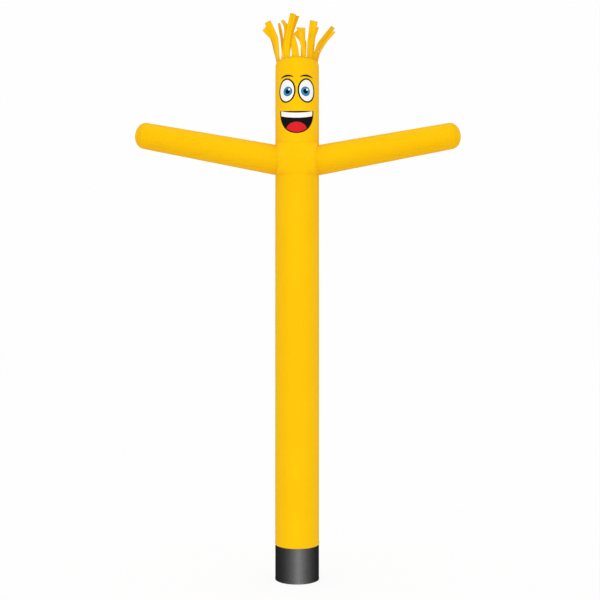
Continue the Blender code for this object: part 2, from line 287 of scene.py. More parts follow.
def chest_relief(a, z):
    """The chest band: eased between its two seams and swelling to the arms."""
    low, top = z - chest_low(a), chest_top(a) - z
    base = round_points(chest_radius(a, z), a, z)
    arms = sides(a)
    edge = np.minimum(low, top)
    add = -(0.0003 + 0.0018 * arms) * np.exp(-(low / 0.015) ** 2) - (0.0003 + 0.0007 * arms) * np.exp(-(top / 0.012) ** 2)
    add = add + 0.0026 * np.exp(-((edge - 0.034) / 0.026) ** 2) * arms
    add = add + (0.0002 + 0.0030 * arms) * creases(a, 41, 24, 60) * gather(low, 0.034)
    add = add + (0.0002 + 0.0020 * arms) * creases(a, 42, 24, 60) * gather(top, 0.030)
    add = add + 0.0004 * ripple(a, 43, 4, 10) * gather(edge, 0.20, 0.02)
    for side, shift in ((-1, 0.0), (1, 4.0)):
        d, phi = opening_distance(side, base)
        add = add + 0.9 * tucks(phi, np.clip(d, 0.0, 1.0), shift) * (d < 1)
        add = add + 0.0016 * creases(phi, 44 + side, 24, 48) * gather(np.clip(d, 0.0, 1.0), 0.026) * (d < 1)
        # near the opening the cloth keeps to the seam that it shares with the arm
        add = add * smooth(d, 0.0, 0.006)
    edge_hold = smooth(edge, 0.0, 0.002)
    return add * (0.35 + 0.65 * edge_hold) + back_seam(a)


def chest_surface(a, z):
    full = STRETCH
    base = round_points(chest_radius(a, z), a, z)
    for side in (-1, 1):
        full = full * smooth(opening_distance(side, base)[0], 0.0, 0.02)
    return round_points(chest_radius(a, z) + chest_relief(a, z) + full, a, z)


def head_relief(a, z):
    """The head: plain and taut behind the print, rounding in to a gathered
    rim."""
    low, top = z - chest_top(a), RIM_Z - z
    arms = sides(a)
    r = (0.25 + 0.75 * arms) * fell(low) - (0.0003 + 0.0009 * arms) * np.exp(-(low / 0.013) ** 2)
    r = r + (0.0002 + 0.0018 * arms) * creases(a, 51, 24, 58) * gather(low, 0.032)
    r = r + 0.0030 * np.exp(-((top - 0.030) / 0.022) ** 2) - 0.0022 * np.exp(-(top / 0.010) ** 2)
    r = r + fell(top, 0.014)
    r = r + 0.0020 * creases(a, 52, 20, 46) * gather(top, 0.032, 0.005)
    r = r + 0.0013 * ripple(a, 53, 7, 15) * gather(top, 0.075, 0.02)
    r = r + 0.00020 * ripple(a, 54, 3, 7) * np.cos(3.7 * z)
    return r + back_seam(a)


def head_surface(a, z):
    full = STRETCH * smooth(RIM_Z - z, 0.0, 0.05)
    return round_points(head_radius(z) + head_relief(a, z) + full, a, z)


# long shallow folds along an arm, where its cut is a little full
# at      place round the arm, degrees: 90 top, 180 front, 270 under
# from    start and end, metres from the body's middle, and its slant, degrees
# deep    depth, metres (minus for a ridge)
# wide    half width, metres
FOLD_COLUMNS = ("at", "start", "end", "slant", "deep", "wide")
FOLDS = [
    (207, 1.395, 1.560, 3, 0.0016, 0.0050), (216, 1.330, 1.500, -4, 0.0019, 0.0060), (227, 1.410, 1.590, 4, 0.0020, 0.0065),
    (236, 1.210, 1.440, -3, 0.0017, 0.0070), (251, 1.330, 1.600, 3, 0.0018, 0.0080), (272, 1.240, 1.590, -4, 0.0018, 0.0080),
    (238, 0.330, 0.620, 6, 0.0022, 0.0085), (262, 0.300, 0.560, -5, 0.0024, 0.0090), (221, 0.300, 0.470, 9, 0.0017, 0.0065),
    (152, 1.215, 1.300, 2, 0.0014, 0.0045), (144, 1.240, 1.330, -2, 0.0014, 0.0045), (122, 1.380, 1.560, 3, 0.0009, 0.0060),
    (118, 0.300, 0.520, -6, 0.0018, 0.0070), (98, 1.420, 1.600, 0, 0.0007, 0.0070), (84, 0.290, 0.500, 5, 0.0012, 0.0085),
    (247, 0.760, 0.960, 6, 0.0009, 0.0090), (20, 1.330, 1.590, 4, 0.0016, 0.0070), (338, 1.300, 1.580, -4, 0.0016, 0.0070),
    (256, 1.000, 1.260, 7, 0.0018, 0.0090), (113, 0.940, 1.160, 5, 0.0012, 0.0070), (270, 0.820, 1.100, 7, 0.0017, 0.0085),
    (40, 0.300, 0.520, -4, 0.0018, 0.0080), (310, 0.300, 0.540, 6, 0.0020, 0.0080), (0, 0.700, 0.980, 2, 0.0009, 0.0090),
]

# short soft puckers, aslant on each arm where the air pulls the cloth
PUCKERS = {
    -1: [
        (143, 1.225, 1.305, 6, 0.0021, 0.0050), (152, 1.195, 1.295, 7, 0.0022, 0.0052), (162, 1.150, 1.245, 6, 0.0014, 0.0065),
        (166, 1.020, 1.150, 9, 0.0022, 0.0062), (178, 0.985, 1.115, 9, 0.0018, 0.0070), (156, 1.065, 1.180, 7, 0.0016, 0.0060),
        (219, 0.990, 1.105, 6, 0.0016, 0.0070), (232, 0.985, 1.130, 8, 0.0030, 0.0080), (207, 0.895, 0.965, 5, 0.0016, 0.0065),
        (224, 1.450, 1.560, 5, 0.0021, 0.0062), (232, 1.425, 1.540, 6, 0.0022, 0.0062), (226, 1.335, 1.420, 7, 0.0019, 0.0068),
        (230, 0.640, 0.790, 8, 0.0024, 0.0078), (241, 0.565, 0.700, 6, 0.0022, 0.0072), (150, 0.735, 0.815, 5, 0.0016, 0.0048),
        (144, 0.595, 0.660, 5, 0.0014, 0.0048), (215, 0.455, 0.560, 6, 0.0013, 0.0080), (198, 1.280, 1.375, 7, 0.0011, 0.0080),
    ],
    1: [
        (226, 0.530, 0.615, 6, 0.0022, 0.0066), (237, 0.465, 0.600, 6, 0.0024, 0.0072), (135, 0.585, 0.660, 5, 0.0019, 0.0048),
        (142, 0.640, 0.715, 5, 0.0018, 0.0048), (150, 0.695, 0.795, 6, 0.0019, 0.0052), (164, 1.010, 1.115, 6, 0.0016, 0.0062),
        (185, 1.075, 1.165, 5, 0.0018, 0.0066), (195, 0.995, 1.085, 6, 0.0013, 0.0075), (229, 0.980, 1.085, 6, 0.0022, 0.0068),
        (239, 1.040, 1.190, 7, 0.0026, 0.0074), (221, 1.205, 1.310, 6, 0.0018, 0.0075), (142, 1.125, 1.200, 4, 0.0016, 0.0048),
        (151, 1.175, 1.265, 5, 0.0018, 0.0050), (225, 1.455, 1.560, 5, 0.0021, 0.0062), (235, 1.470, 1.600, 5, 0.0022, 0.0066),
        (206, 0.800, 0.890, 6, 0.0013, 0.0080), (170, 0.860, 0.950, 7, 0.0011, 0.0075), (149, 0.300, 0.350, 3, 0.0019, 0.0055),
    ],
}


def folds(phi, t, shift, rows):
    deg, total = np.degrees(phi), 0.0 * phi * t
    for row in rows:
        col = dict(zip(FOLD_COLUMNS, row))
        mid, half = 0.5 * (col["start"] + col["end"]), 0.5 * (col["end"] - col["start"])
        at = col["at"] + shift + col["slant"] * (t - mid) / half
        off = np.radians(np.mod(deg - at + 180.0, 360.0) - 180.0) * ARM_END_R
        along = np.exp(-((t - mid) / half) ** 4 * 1.6)
        total = total - col["deep"] * along * (np.exp(-(off / col["wide"]) ** 2) - 0.45 * np.exp(-((np.abs(off) - 1.9 * col["wide"]) / col["wide"]) ** 2))
    return total


def beads(phi, seed, count=24):
    """A round of small dimples, uneven in place and depth: -1 in the deepest."""
    rng = np.random.default_rng(seed)
    total = 0.0 * phi
    for k in range(count):
        at = 2 * math.pi * (k + rng.uniform(-0.28, 0.28)) / count
        deep, wide = rng.uniform(0.25, 1.0), rng.uniform(0.18, 0.30) * 2 * math.pi / count
        off = np.mod(phi - at + math.pi, 2 * math.pi) - math.pi
        total = total - deep * np.exp(-(off / wide) ** 2)
    return total


def arm_relief(side):
    shift = 0.0 if side < 0 else 4.0
    seed = 60 if side < 0 else 70

    def relief(phi, t):
        root = arm_root(side, phi + 0 * t)
        d, out = t - root, ARM_END + ARM_CAP_AT - t
        phi = side * phi          # on the left, up is at 270 degrees
        r = tucks(phi, np.clip(d, 0.0, None), shift)
        r = r + fell(d, 0.011) * smooth(d, 0.0, 0.001)
        r = r + 0.0020 * creases(phi, seed, 24, 48) * gather(np.clip(d, 0, None), 0.028)
        r = r + folds(phi, t, 0.0 if side < 0 else 3.0, FOLDS) + folds(phi, t, 0.0, PUCKERS[side])
        seam_back = ARM_ROOT_R * np.abs(np.mod(phi + math.pi, 2 * math.pi) - math.pi)
        r = r + fell(seam_back, 0.006, 0.0005) - 0.0010 * np.exp(-(seam_back / 0.010) ** 2)
        # the end seam and the stitched fold behind it
        o = np.clip(out, 0.0, None)
        r = r - 0.0012 * np.exp(-(o / 0.006) ** 2)
        r = r - 0.0009 * np.exp(-((o - 0.027) / 0.0035) ** 2)
        r = r + 0.0010 * np.exp(-((o - 0.014) / 0.007) ** 2)
        r = r + 0.0030 * beads(phi, seed + 2) * np.exp(-((o - 0.027) / 0.0070) ** 2)
        r = r + 0.0030 * beads(phi, seed + 3) * np.exp(-((o - 0.002) / 0.0075) ** 2)
        r = r + 0.0003 * ripple(phi, seed + 4, 14, 30) * gather(np.clip(o - 0.03, 0.0, None), 0.05, 0.01)
        r = r + 0.00025 * ripple(phi, seed + 5, 3, 7) * (0.5 + 0.5 * np.cos(4.3 * t + side))
        return r * (0.25 + 0.75 * smooth(d, 0.0, 0.004))
    return relief


def arm_surface(side):
    start, axis, back, up = arm_frame(side)
    relief = arm_relief(side)

    def surface(phi, t):
        d = t - arm_root(side, phi + 0 * t)
        r = arm_radius(t)
        r = np.where(d < 0.02, ARM_ROOT_R + (r - ARM_ROOT_R) * smooth(d, 0.0, 0.02), r)
        full = ARM_STRETCH * smooth(d, 0.0, 0.06) * smooth(ARM_END + ARM_CAP_AT - t, 0.0, 0.06)
        r = r + relief(phi, t) + full
        ring = np.cos(phi)[..., None] * back + np.sin(phi)[..., None] * up
        return start + axis * (t + 0 * phi)[..., None] + ring * r[..., None]
    return surface


def crease_shade(relief, full=0.0030, size=0.60):
    """Painted shade in a dip: how much its colour is darkened, more in deeper dips."""
    return size * np.clip(-relief / full, 0.0, 1.0)


def cap_surface(side):
    """The round end panel, from its seam to its middle, domed by the air."""
    start, axis, back, up = arm_frame(side)
    seed = 80 if side < 0 else 90
    seam = ARM_END + ARM_CAP_AT

    def surface(phi, w):
        """w is 0 at the seam and 1 in the middle."""
        half = 0.5 * math.pi
        a0 = math.asin(ARM_CAP_AT / ARM_END_DEPTH)
        turn = a0 + (half - a0) * w
        d = ARM_END_DEPTH * np.sin(turn)
        r = ARM_END_R * np.cos(turn)
        t = ARM_END + d
        arc = w * 0.125
        dip = -0.0012 * np.exp(-(arc / 0.006) ** 2)
        dip = dip + 0.0030 * beads(side * phi, seed + 3 - 20) * np.exp(-((arc - 0.001) / 0.010) ** 2)
        dip = dip + 0.0016 * ripple(phi, seed, 9, 20) * gather(arc, 0.030, 0.006) * (1 - w)
        ring = np.cos(phi)[..., None] * back + np.sin(phi)[..., None] * up
        out_r, out_t = np.cos(turn), np.sin(turn)
        rr, tt = r + dip * out_r, t + dip * out_t
        return start + axis * tt[..., None] + ring * rr[..., None]
    return surface


def crown_surface(a, w):
    """The round top panel inside the rim; w is 0 at its seam, 1 in the middle."""
    rim = RIM_R - 0.0027
    r = rim * (1 - w)
    z = RIM_Z - 0.0010 + CROWN_RISE * (1 - (r / rim) ** 5)
    arc = w * rim
    z = z + 0.0022 * creases(a, 101, 14, 30) * gather(arc, 0.035, 0.008) * (1 - w)
    z = z + 0.0008 * ripple(a, 102, 3, 7) * w * (1 - w) * 4
    return round_points(r, a, z)


# ------------------------------------------------------------- mesh building
def vertex_normals(co, faces):
    normal = np.zeros_like(co)
    k = faces.shape[1]
    first, last = co[faces[:, 0]], co[faces[:, k - 1]]
    face_n = np.cross(co[faces[:, 1]] - first, co[faces[:, 2]] - first)
    if k == 4:
        face_n = face_n + np.cross(co[faces[:, 2]] - first, last - first)
    for c in range(k):
        np.add.at(normal, faces[:, c], face_n)
    return normal / np.maximum(np.linalg.norm(normal, axis=1, keepdims=True), 1e-12)


def write_mesh(name, co, groups, materials, smooth_angle=50):
    """groups are (faces, cloth places, bake places, material numbers), all
    faces of a group having the same number of corners."""
    me = bpy.data.meshes.new(name)
    corner, cloth, bake, start, mats, at = [], [], [], [], [], 0
    for faces, uv, bv, mat in groups:
        n, k = faces.shape
        corner.append(faces.ravel())
        cloth.append(uv.reshape(-1, 2))
        bake.append(bv.reshape(-1, 2))
        start.append(at + k * np.arange(n))
        mats.append(mat)
        at += n * k
    corner, start = np.concatenate(corner), np.concatenate(start)
    me.vertices.add(len(co))
    me.vertices.foreach_set("co", np.ascontiguousarray(co, np.float32).ravel())
    me.loops.add(len(corner))
    me.loops.foreach_set("vertex_index", corner.astype(np.int32))
    me.polygons.add(len(start))
    me.polygons.foreach_set("loop_start", start.astype(np.int32))
    me.polygons.foreach_set("material_index", np.concatenate(mats).astype(np.int32))
    me.update(calc_edges=True)
    for layer, places in (("cloth", np.concatenate(cloth)), ("OFBake", np.concatenate(bake))):
        uvs = me.uv_layers.new(name=layer)
        uvs.uv.foreach_set("vector", np.ascontiguousarray(places, np.float32).ravel())
    me.uv_layers.active = me.uv_layers["cloth"]
    me.uv_layers["cloth"].active_render = True
    for mat in materials:
        me.materials.append(mat)
    me.shade_smooth()
    me.set_sharp_from_angle(angle=math.radians(smooth_angle))
    ob = bpy.data.objects.new(name, me)
    bpy.context.scene.collection.objects.link(ob)
    return ob


def shell(name, co, faces, uv, thick, materials, mat=None, wear_and_shade=None):
    """A closed thin sheet: co and faces are its outer side, uv its cloth
    places at each corner in metres, thick its thickness."""
    count = len(co)
    n, k = faces.shape
    normal = vertex_normals(co, faces)
    inner = co - normal * (thick[:, None] if np.ndim(thick) else thick)
    mat = np.zeros(n, int) if mat is None else mat
    a, b = faces, np.roll(faces, -1, axis=1)
    ua, ub = uv, np.roll(uv, -1, axis=1)
    key, back = (a * count + b).ravel(), (b * count + a).ravel()
    loose = ~np.isin(key, back)
    ea, eb = a.ravel()[loose], b.ravel()[loose]
    uva, uvb = ua.reshape(-1, 2)[loose], ub.reshape(-1, 2)[loose]
    rim = np.stack([eb, ea, ea + count, eb + count], 1)
    rim_uv = np.stack([uvb, uva, uva + 0.0005, uvb + 0.0005], 1)
    low, span = uv.reshape(-1, 2).min(0), np.maximum(np.ptp(uv.reshape(-1, 2), axis=0), 1e-6)
    unit = (uv - low) / span
    outer_bake = np.stack([0.002 + 0.996 * unit[..., 0], 0.152 + 0.845 * unit[..., 1]], -1)
    inner_bake = np.stack([0.002 + 0.996 * unit[..., 0], 0.004 + 0.118 * unit[..., 1]], -1)
    m = len(rim)
    place = np.arange(m) / max(m, 1)
    wide = 0.9 / max(m, 1)
    rim_bake = np.stack([
        np.stack([place + wide, np.full(m, 0.130)], 1), np.stack([place, np.full(m, 0.130)], 1),
        np.stack([place, np.full(m, 0.144)], 1), np.stack([place + wide, np.full(m, 0.144)], 1)], 1)
    rim_bake[..., 0] = 0.002 + 0.996 * rim_bake[..., 0]
    groups = [
        (faces, uv, outer_bake, mat),
        (faces[:, ::-1] + count, uv[:, ::-1], inner_bake[:, ::-1], np.zeros(n, int)),
        (rim, rim_uv, rim_bake, np.zeros(m, int)),
    ]
    ob = write_mesh(name, np.concatenate([co, inner]), groups, materials)
    # the per-point darkening the materials read: painted shade on the yellow cloth, scuffing on the black sleeve
    if wear_and_shade is not None:
        att = ob.data.attributes.new("wear_and_shade", "FLOAT", "POINT")
        att.data.foreach_set("value", np.concatenate([wear_and_shade, wear_and_shade]).astype(np.float32))
    return ob


def grid_faces(rows, cols, closed):
    """Quads of a grid whose vertices run along the columns first."""
    r, c = np.meshgrid(np.arange(rows - 1), np.arange(cols if closed else cols - 1), indexing="ij")
    c1 = (c + 1) % cols
    return np.stack([r * cols + c, r * cols + c1, (r + 1) * cols + c1, (r + 1) * cols + c], -1).reshape(-1, 4)


def grid_corners(u, v, closed):
    """Cloth places at the corners of grid_faces, from u for each column and v
    for each vertex; a closed sheet has one more u than it has columns."""
    rows, cols = v.shape
    cols_f = cols if closed else cols - 1
    r, c = np.meshgrid(np.arange(rows - 1), np.arange(cols_f), indexing="ij")
    c1 = (c + 1) % cols

    def place(rr, cc, k):
        return np.stack([u[k], v[rr, cc]], -1)
    return np.stack([place(r, c, c), place(r, c1, c + 1), place(r + 1, c1, c + 1), place(r + 1, c, c)], 2).reshape(-1, 4, 2)


def clustered(total, low_end, high_end, step):
    """Distances along a sheet: close together at its seams, then step apart."""
    near = [0.0, 0.0008, 0.0025, 0.0045, 0.0070, 0.0095, 0.0117, 0.0123, 0.0145, 0.018, 0.022, 0.0265,
            0.031, 0.036, 0.042, 0.049, 0.057, 0.066, 0.077, 0.090, 0.105, 0.123, 0.145, 0.170]
    low = [x for x in near if x < 0.45 * total] if low_end else [0.0]
    high = [total - x for x in near if x < 0.45 * total] if high_end else [total]
    gap_low, gap_high = low[-1], high[-1]
    count = max(1, round((gap_high - gap_low) / step))
    mid = [gap_low + (gap_high - gap_low) * k / count for k in range(1, count)]
    return np.array(sorted(low + mid + high))


def girth_angles(count, seam_at=math.pi, radius=TUBE_R):
    """Angles round a tube, starting at its seam, with extra columns across
    the seam's band."""
    close = np.array([0.0, 0.0028, 0.0057, 0.0063, 0.0085]) / radius
    rest = np.linspace(close[-1], 2 * math.pi - close[-1], count + 1)[1:-1]
    turn = np.concatenate([close, rest, (2 * math.pi - close[:0:-1])])
    return seam_at + turn


def tube_sheet(name, surface, low, top, heights, angles, thick, materials, wear_and_shade_rule=None, radius=TUBE_R):
    """A rolled sheet between the edges low(a) and top(a)."""
    a = angles[None, :]
    share = (heights / heights[-1])[:, None]
    z = low(a) + (top(a) - low(a)) * share
    a = a + 0 * z
    co = surface(a, z)
    rows, cols = z.shape
    faces = grid_faces(rows, cols, True)
    u = radius * np.append(angles - angles[0], 2 * math.pi)
    uv = grid_corners(u, z, True)
    wear_and_shade = None if wear_and_shade_rule is None else wear_and_shade_rule(a, z).ravel()
    return shell(name, co.reshape(-1, 3), faces, uv, thick, materials, wear_and_shade=wear_and_shade)


def flat_triangles(points, edges):
    """Triangles over flat points with these edges kept."""
    verts, _, faces, _, _, _ = delaunay_2d_cdt([Vector(p) for p in points], edges, [], 0, 1e-7, True)
    return np.array([(v.x, v.y) for v in verts]), np.array([f for f in faces])


def loop_edges(first, count, closed=True):
    edges = [(first + k, first + k + 1) for k in range(count - 1)]
    if closed:
        edges.append((first + count - 1, first))
    return edges


def distance_to_lines(p, lines):
    """Shortest distance from each flat point to any of these closed lines."""
    best = np.full(len(p), 9.0)
    for line in lines:
        a, b = line, np.roll(line, -1, axis=0)
        for s in range(0, len(a), 32):
            aa, ab = a[s:s + 32], (b - a)[s:s + 32]
            t = np.clip(((p[:, None] - aa) * ab).sum(-1) / np.maximum((ab ** 2).sum(-1), 1e-12), 0, 1)
            best = np.minimum(best, np.linalg.norm(p[:, None] - aa - ab * t[..., None], axis=-1).min(1))
    return best


def inside_line(p, line):
    """Whether each flat point is inside a closed line."""
    x, y = p[:, 0:1], p[:, 1:2]
    a, b = line, np.roll(line, -1, axis=0)
    cross = ((a[:, 1] > y) != (b[:, 1] > y))
    with np.errstate(divide="ignore", invalid="ignore"):
        at = (b[:, 0] - a[:, 0]) * (y - a[:, 1]) / (b[:, 1] - a[:, 1]) + a[:, 0]
    return (np.sum(cross & (x < at), axis=1) % 2) == 1


def cut_sheet(name, surface, low, top, tall, columns, rows, lines, holes, thick, materials, paint=None, wear_and_shade_rule=None):
    """A rolled sheet cut or printed along closed flat lines.  Flat places are
    (distance round from the front, distance up from the low edge at the front
    scale).  holes are lines whose inside is cut away."""
    half = math.pi * TUBE_R
    grid = np.array([(x, y) for y in rows for x in columns])
    far = distance_to_lines(grid, lines) if lines else np.full(len(grid), 9.0)
    border = (np.abs(grid[:, 0]) > half - 1e-9) | (grid[:, 1] < 1e-9) | (grid[:, 1] > tall - 1e-9)
    keep = border | (far > 0.0022)
    points = [tuple(p) for p in grid[keep]]
    edges = []
    for line in lines:
        edges += loop_edges(len(points), len(line))
        points += [tuple(p) for p in line]
    flat, faces = flat_triangles(points, edges)
    middle = flat[faces].mean(1)
    gone = np.zeros(len(faces), bool)
    for hole in holes:
        gone |= inside_line(middle, hole)
    faces = faces[~gone]
    mat = None if paint is None else paint(flat[faces].mean(1))
    # roll it up: the two back edges become one
    a = flat[:, 0] / TUBE_R
    share = flat[:, 1] / tall
    z = low(a) + (top(a) - low(a)) * share
    co = surface(a, z)
    uv = np.stack([flat[:, 0] + half, z], -1)[faces]
    left = np.where(flat[:, 0] < -half + 1e-7)[0]
    right = np.where(flat[:, 0] > half - 1e-7)[0]
    left, right = left[np.argsort(flat[left, 1])], right[np.argsort(flat[right, 1])]
    assert len(left) == len(right)
    new = np.arange(len(flat))
    new[right] = left
    faces = new[faces]
    used, faces_flat = np.unique(faces, return_inverse=True)
    faces = faces_flat.reshape(-1, 3)
    # outward: counter-clockwise seen from outside
    co = co[used]
    face_n = np.cross(co[faces[:, 1]] - co[faces[:, 0]], co[faces[:, 2]] - co[faces[:, 0]])
    centre = co[faces].mean(1)
    centre[:, 2] = 0
    if (face_n * centre).sum() < 0:
        faces, uv = faces[:, ::-1], uv[:, ::-1]
    wear_and_shade = None if wear_and_shade_rule is None else wear_and_shade_rule(a[used], z[used])
    return shell(name, co, faces, uv, thick, materials, mat=mat, wear_and_shade=wear_and_shade)


# ----------------------------------------------------------------- stitches
def stitch_rows(name, rows, material):
    """Lockstitches as small raised grains of thread.  rows are (surface,
    places along the row (n, 2), half step (2,) or (n, 2), lift)."""
    all_co, all_faces, base = [], [], 0
    ring = 6
    turn = 2 * math.pi * np.arange(ring) / ring
    for surface, at, half, lift in rows:
        at = np.asarray(at, float)
        half = np.broadcast_to(np.asarray(half, float), at.shape)
        mid = surface(at[:, 0], at[:, 1])
        one = surface(at[:, 0] - half[:, 0], at[:, 1] - half[:, 1])
        two = surface(at[:, 0] + half[:, 0], at[:, 1] + half[:, 1])
        e = 0.0006
        along = two - one
        along /= np.maximum(np.linalg.norm(along, axis=1, keepdims=True), 1e-12)
        p0 = surface(at[:, 0] + e, at[:, 1]) - surface(at[:, 0] - e, at[:, 1])
        p1 = surface(at[:, 0], at[:, 1] + e) - surface(at[:, 0], at[:, 1] - e)
        up = np.cross(p0, p1)
        up /= np.maximum(np.linalg.norm(up, axis=1, keepdims=True), 1e-12)
        up = up * np.sign(lift)
        side = np.cross(up, along)
        wide, tall = 0.5 * STITCH_WIDE, 0.00042
        body = mid + up * 0.00010
        co = [one - up * 0.0001]
        for k in range(ring):
            co.append(body + side * (wide * math.cos(turn[k])) + up * (tall * math.sin(turn[k])))
        co.append(two - up * 0.0001)
        co = np.stack(co, 1)                                  # (n, ring + 2, 3)
        per = ring + 2
        tris = []
        for k in range(ring):
            k1 = (k + 1) % ring
            tris.append((0, 1 + k, 1 + k1))
            tris.append((ring + 1, 1 + k1, 1 + k))
        tris = np.array(tris)
        n = len(at)
        # each grain is turned the right way out
        c = co.mean(1)
        f0 = tris[0]
        nn = np.cross(co[:, f0[1]] - co[:, f0[0]], co[:, f0[2]] - co[:, f0[0]])
        flip = ((nn * (co[:, f0].mean(1) - c)).sum(1) < 0)
        faces = np.broadcast_to(tris, (n,) + tris.shape).copy()
        faces[flip] = faces[flip][:, :, ::-1]
        faces = faces + (base + per * np.arange(n))[:, None, None]
        all_co.append(co.reshape(-1, 3))
        all_faces.append(faces.reshape(-1, 3))
        base += n * per
    co, faces = np.concatenate(all_co), np.concatenate(all_faces)
    tick = np.arange(len(faces)) % 97 / 97.0
    uv = np.stack([tick, tick], -1)[:, None, :] + np.array([[0.0, 0.0], [0.004, 0.0], [0.0, 0.004]])
    bake = 0.01 + 0.9 * uv
    return write_mesh(name, co, [(faces, uv, bake, np.zeros(len(faces), int))], [material], 80)


def round_row(surface, z_of, lift=1.0, radius=TUBE_R, turn=2 * math.pi, first=0.0):
    """A row of stitches round a tube at the height z_of(a)."""
    count = int(turn * radius / STITCH_PITCH)
    a = first + turn * (np.arange(count) + 0.5) / count
    return (surface, np.stack([a, z_of(a)], 1), (0.5 * STITCH_LONG / radius, 0.0), lift)


def up_row(surface, a, low, high, lift=1.0):
    """A row of stitches along a tube."""
    count = int((high - low) / STITCH_PITCH)
    v = low + (high - low) * (np.arange(count) + 0.5) / count
    return (surface, np.stack([np.full(count, a), v], 1), (0.0, 0.5 * STITCH_LONG), lift)


# ---------------------------------------------------------------- materials
def nodes_of(mat):
    mat.use_nodes = True
    tree = mat.node_tree
    bsdf = tree.nodes["Principled BSDF"]
    return tree, bsdf


class Wiring:
    """Short calls for building a material's nodes."""

    def __init__(self, tree):
        self.tree, self.count = tree, 0

    def node(self, kind, **settings):
        n = self.tree.nodes.new(kind)
        n.location = (-1600 + 180 * (self.count % 8), -220 * (self.count // 8))
        self.count += 1
        for k, v in settings.items():
            setattr(n, k, v)
        return n

    def put(self, socket, value):
        if isinstance(value, bpy.types.NodeSocket):
            self.tree.links.new(value, socket)
        else:
            socket.default_value = value

    def math(self, operation, a, b=0.0, c=None, clamp=False):
        n = self.node("ShaderNodeMath", operation=operation, use_clamp=clamp)
        self.put(n.inputs[0], a)
        self.put(n.inputs[1], b)
        if c is not None:
            self.put(n.inputs[2], c)
        return n.outputs[0]

    def ramp(self, value, low, high, to_low=0.0, to_high=1.0):
        n = self.node("ShaderNodeMapRange", interpolation_type="SMOOTHSTEP", clamp=True)
        for k, v in zip(("Value", "From Min", "From Max", "To Min", "To Max"), (value, low, high, to_low, to_high)):
            self.put(n.inputs[k], v)
        return n.outputs["Result"]

    def noise(self, vector, scale, detail=2.0, rough=0.5):
        n = self.node("ShaderNodeTexNoise")
        self.put(n.inputs["Vector"], vector)
        n.inputs["Scale"].default_value = scale
        n.inputs["Detail"].default_value = detail
        n.inputs["Roughness"].default_value = rough
        return n.outputs["Fac"]

    def mix(self, fac, a, b):
        n = self.node("ShaderNodeMix", data_type="RGBA")
        self.put(n.inputs["Factor"], fac)
        self.put(n.inputs[6], a)
        self.put(n.inputs[7], b)
        return n.outputs[2]

    def bump(self, height, distance, strength, normal=None):
        n = self.node("ShaderNodeBump")
        self.put(n.inputs["Height"], height)
        n.inputs["Distance"].default_value = distance
        n.inputs["Strength"].default_value = strength
        if normal is not None:
            self.put(n.inputs["Normal"], normal)
        return n.outputs["Normal"]


def ripstop(name, colour, shade, rough=0.56, specular=0.12, sheen=0.03, grid=0.0055, crinkle=1.0, fleck=0.5, gloss=None):
    """Coated ripstop: a fine plain weave with a square grid of thicker
    threads, faint crinkles, and a colour that varies a little with the coat;
    the colour is darkened toward the shade colour as painted shade at seams,
    gathers and dips, after the per-point attribute."""
    mat = bpy.data.materials.new(name)
    tree, bsdf = nodes_of(mat)
    w = Wiring(tree)
    cloth = w.node("ShaderNodeUVMap", uv_map="cloth").outputs["UV"]
    place = w.node("ShaderNodeTexCoord").outputs["Object"]
    split = w.node("ShaderNodeSeparateXYZ")
    w.put(split.inputs[0], cloth)
    lines = []
    for axis in (0, 1):
        off = w.math("PINGPONG", split.outputs[axis], 0.5 * grid)
        lines.append(w.ramp(off, 0.00018, 0.00050, 1.0, 0.0))
    thick = w.math("MAXIMUM", lines[0], lines[1])
    pick = [w.math("SINE", w.math("MULTIPLY", split.outputs[axis], 2 * math.pi / 0.00072)) for axis in (0, 1)]
    weave = w.math("MULTIPLY", pick[0], pick[1])
    slack = w.noise(place, 9.0, 3.0, 0.55)
    fine = w.noise(place, 46.0, 2.0, 0.5)
    coat = w.noise(place, 2.3, 3.0, 0.6)
    wear_and_shade_fac = w.node("ShaderNodeAttribute", attribute_name="wear_and_shade").outputs["Fac"]
    tone = w.math("ADD", w.math("MULTIPLY", coat, 0.55), w.math("MULTIPLY", fine, 0.45))
    mixed = w.mix(w.ramp(tone, 0.36, 0.64), colour, tuple(c * f for c, f in zip(colour[:3], (0.972, 0.955, 0.90))) + (1.0,))
    gridded = w.mix(w.math("MULTIPLY", thick, 0.22 * fleck), mixed, shade)
    # painted shade: darken toward the shade colour by the per-point attribute
    final = w.mix(w.math("MULTIPLY", wear_and_shade_fac, 0.85, clamp=True), gridded, shade)
    w.put(bsdf.inputs["Base Color"], final)
    w.put(bsdf.inputs["Roughness"], w.math("ADD", w.ramp(tone, 0.3, 0.7, rough - 0.05, rough + 0.05), w.math("MULTIPLY", wear_and_shade_fac, 0.06)))
    bsdf.inputs["Specular IOR Level"].default_value = specular
    bsdf.inputs["Specular Tint"].default_value = gloss or (1.0, 1.0, 1.0, 1.0)
    bsdf.inputs["Sheen Weight"].default_value = sheen
    bsdf.inputs["Sheen Roughness"].default_value = 0.5
    bsdf.inputs["Sheen Tint"].default_value = colour
    n1 = w.bump(slack, 0.0060 * crinkle, 0.10)
    n2 = w.bump(fine, 0.0010 * crinkle, 0.12, n1)
    n3 = w.bump(w.math("ADD", w.math("MULTIPLY", thick, 0.8), w.math("MULTIPLY", weave, 0.20)), 0.00012, 0.55, n2)
    w.put(bsdf.inputs["Normal"], n3)
    mat.diffuse_color = colour
    return mat


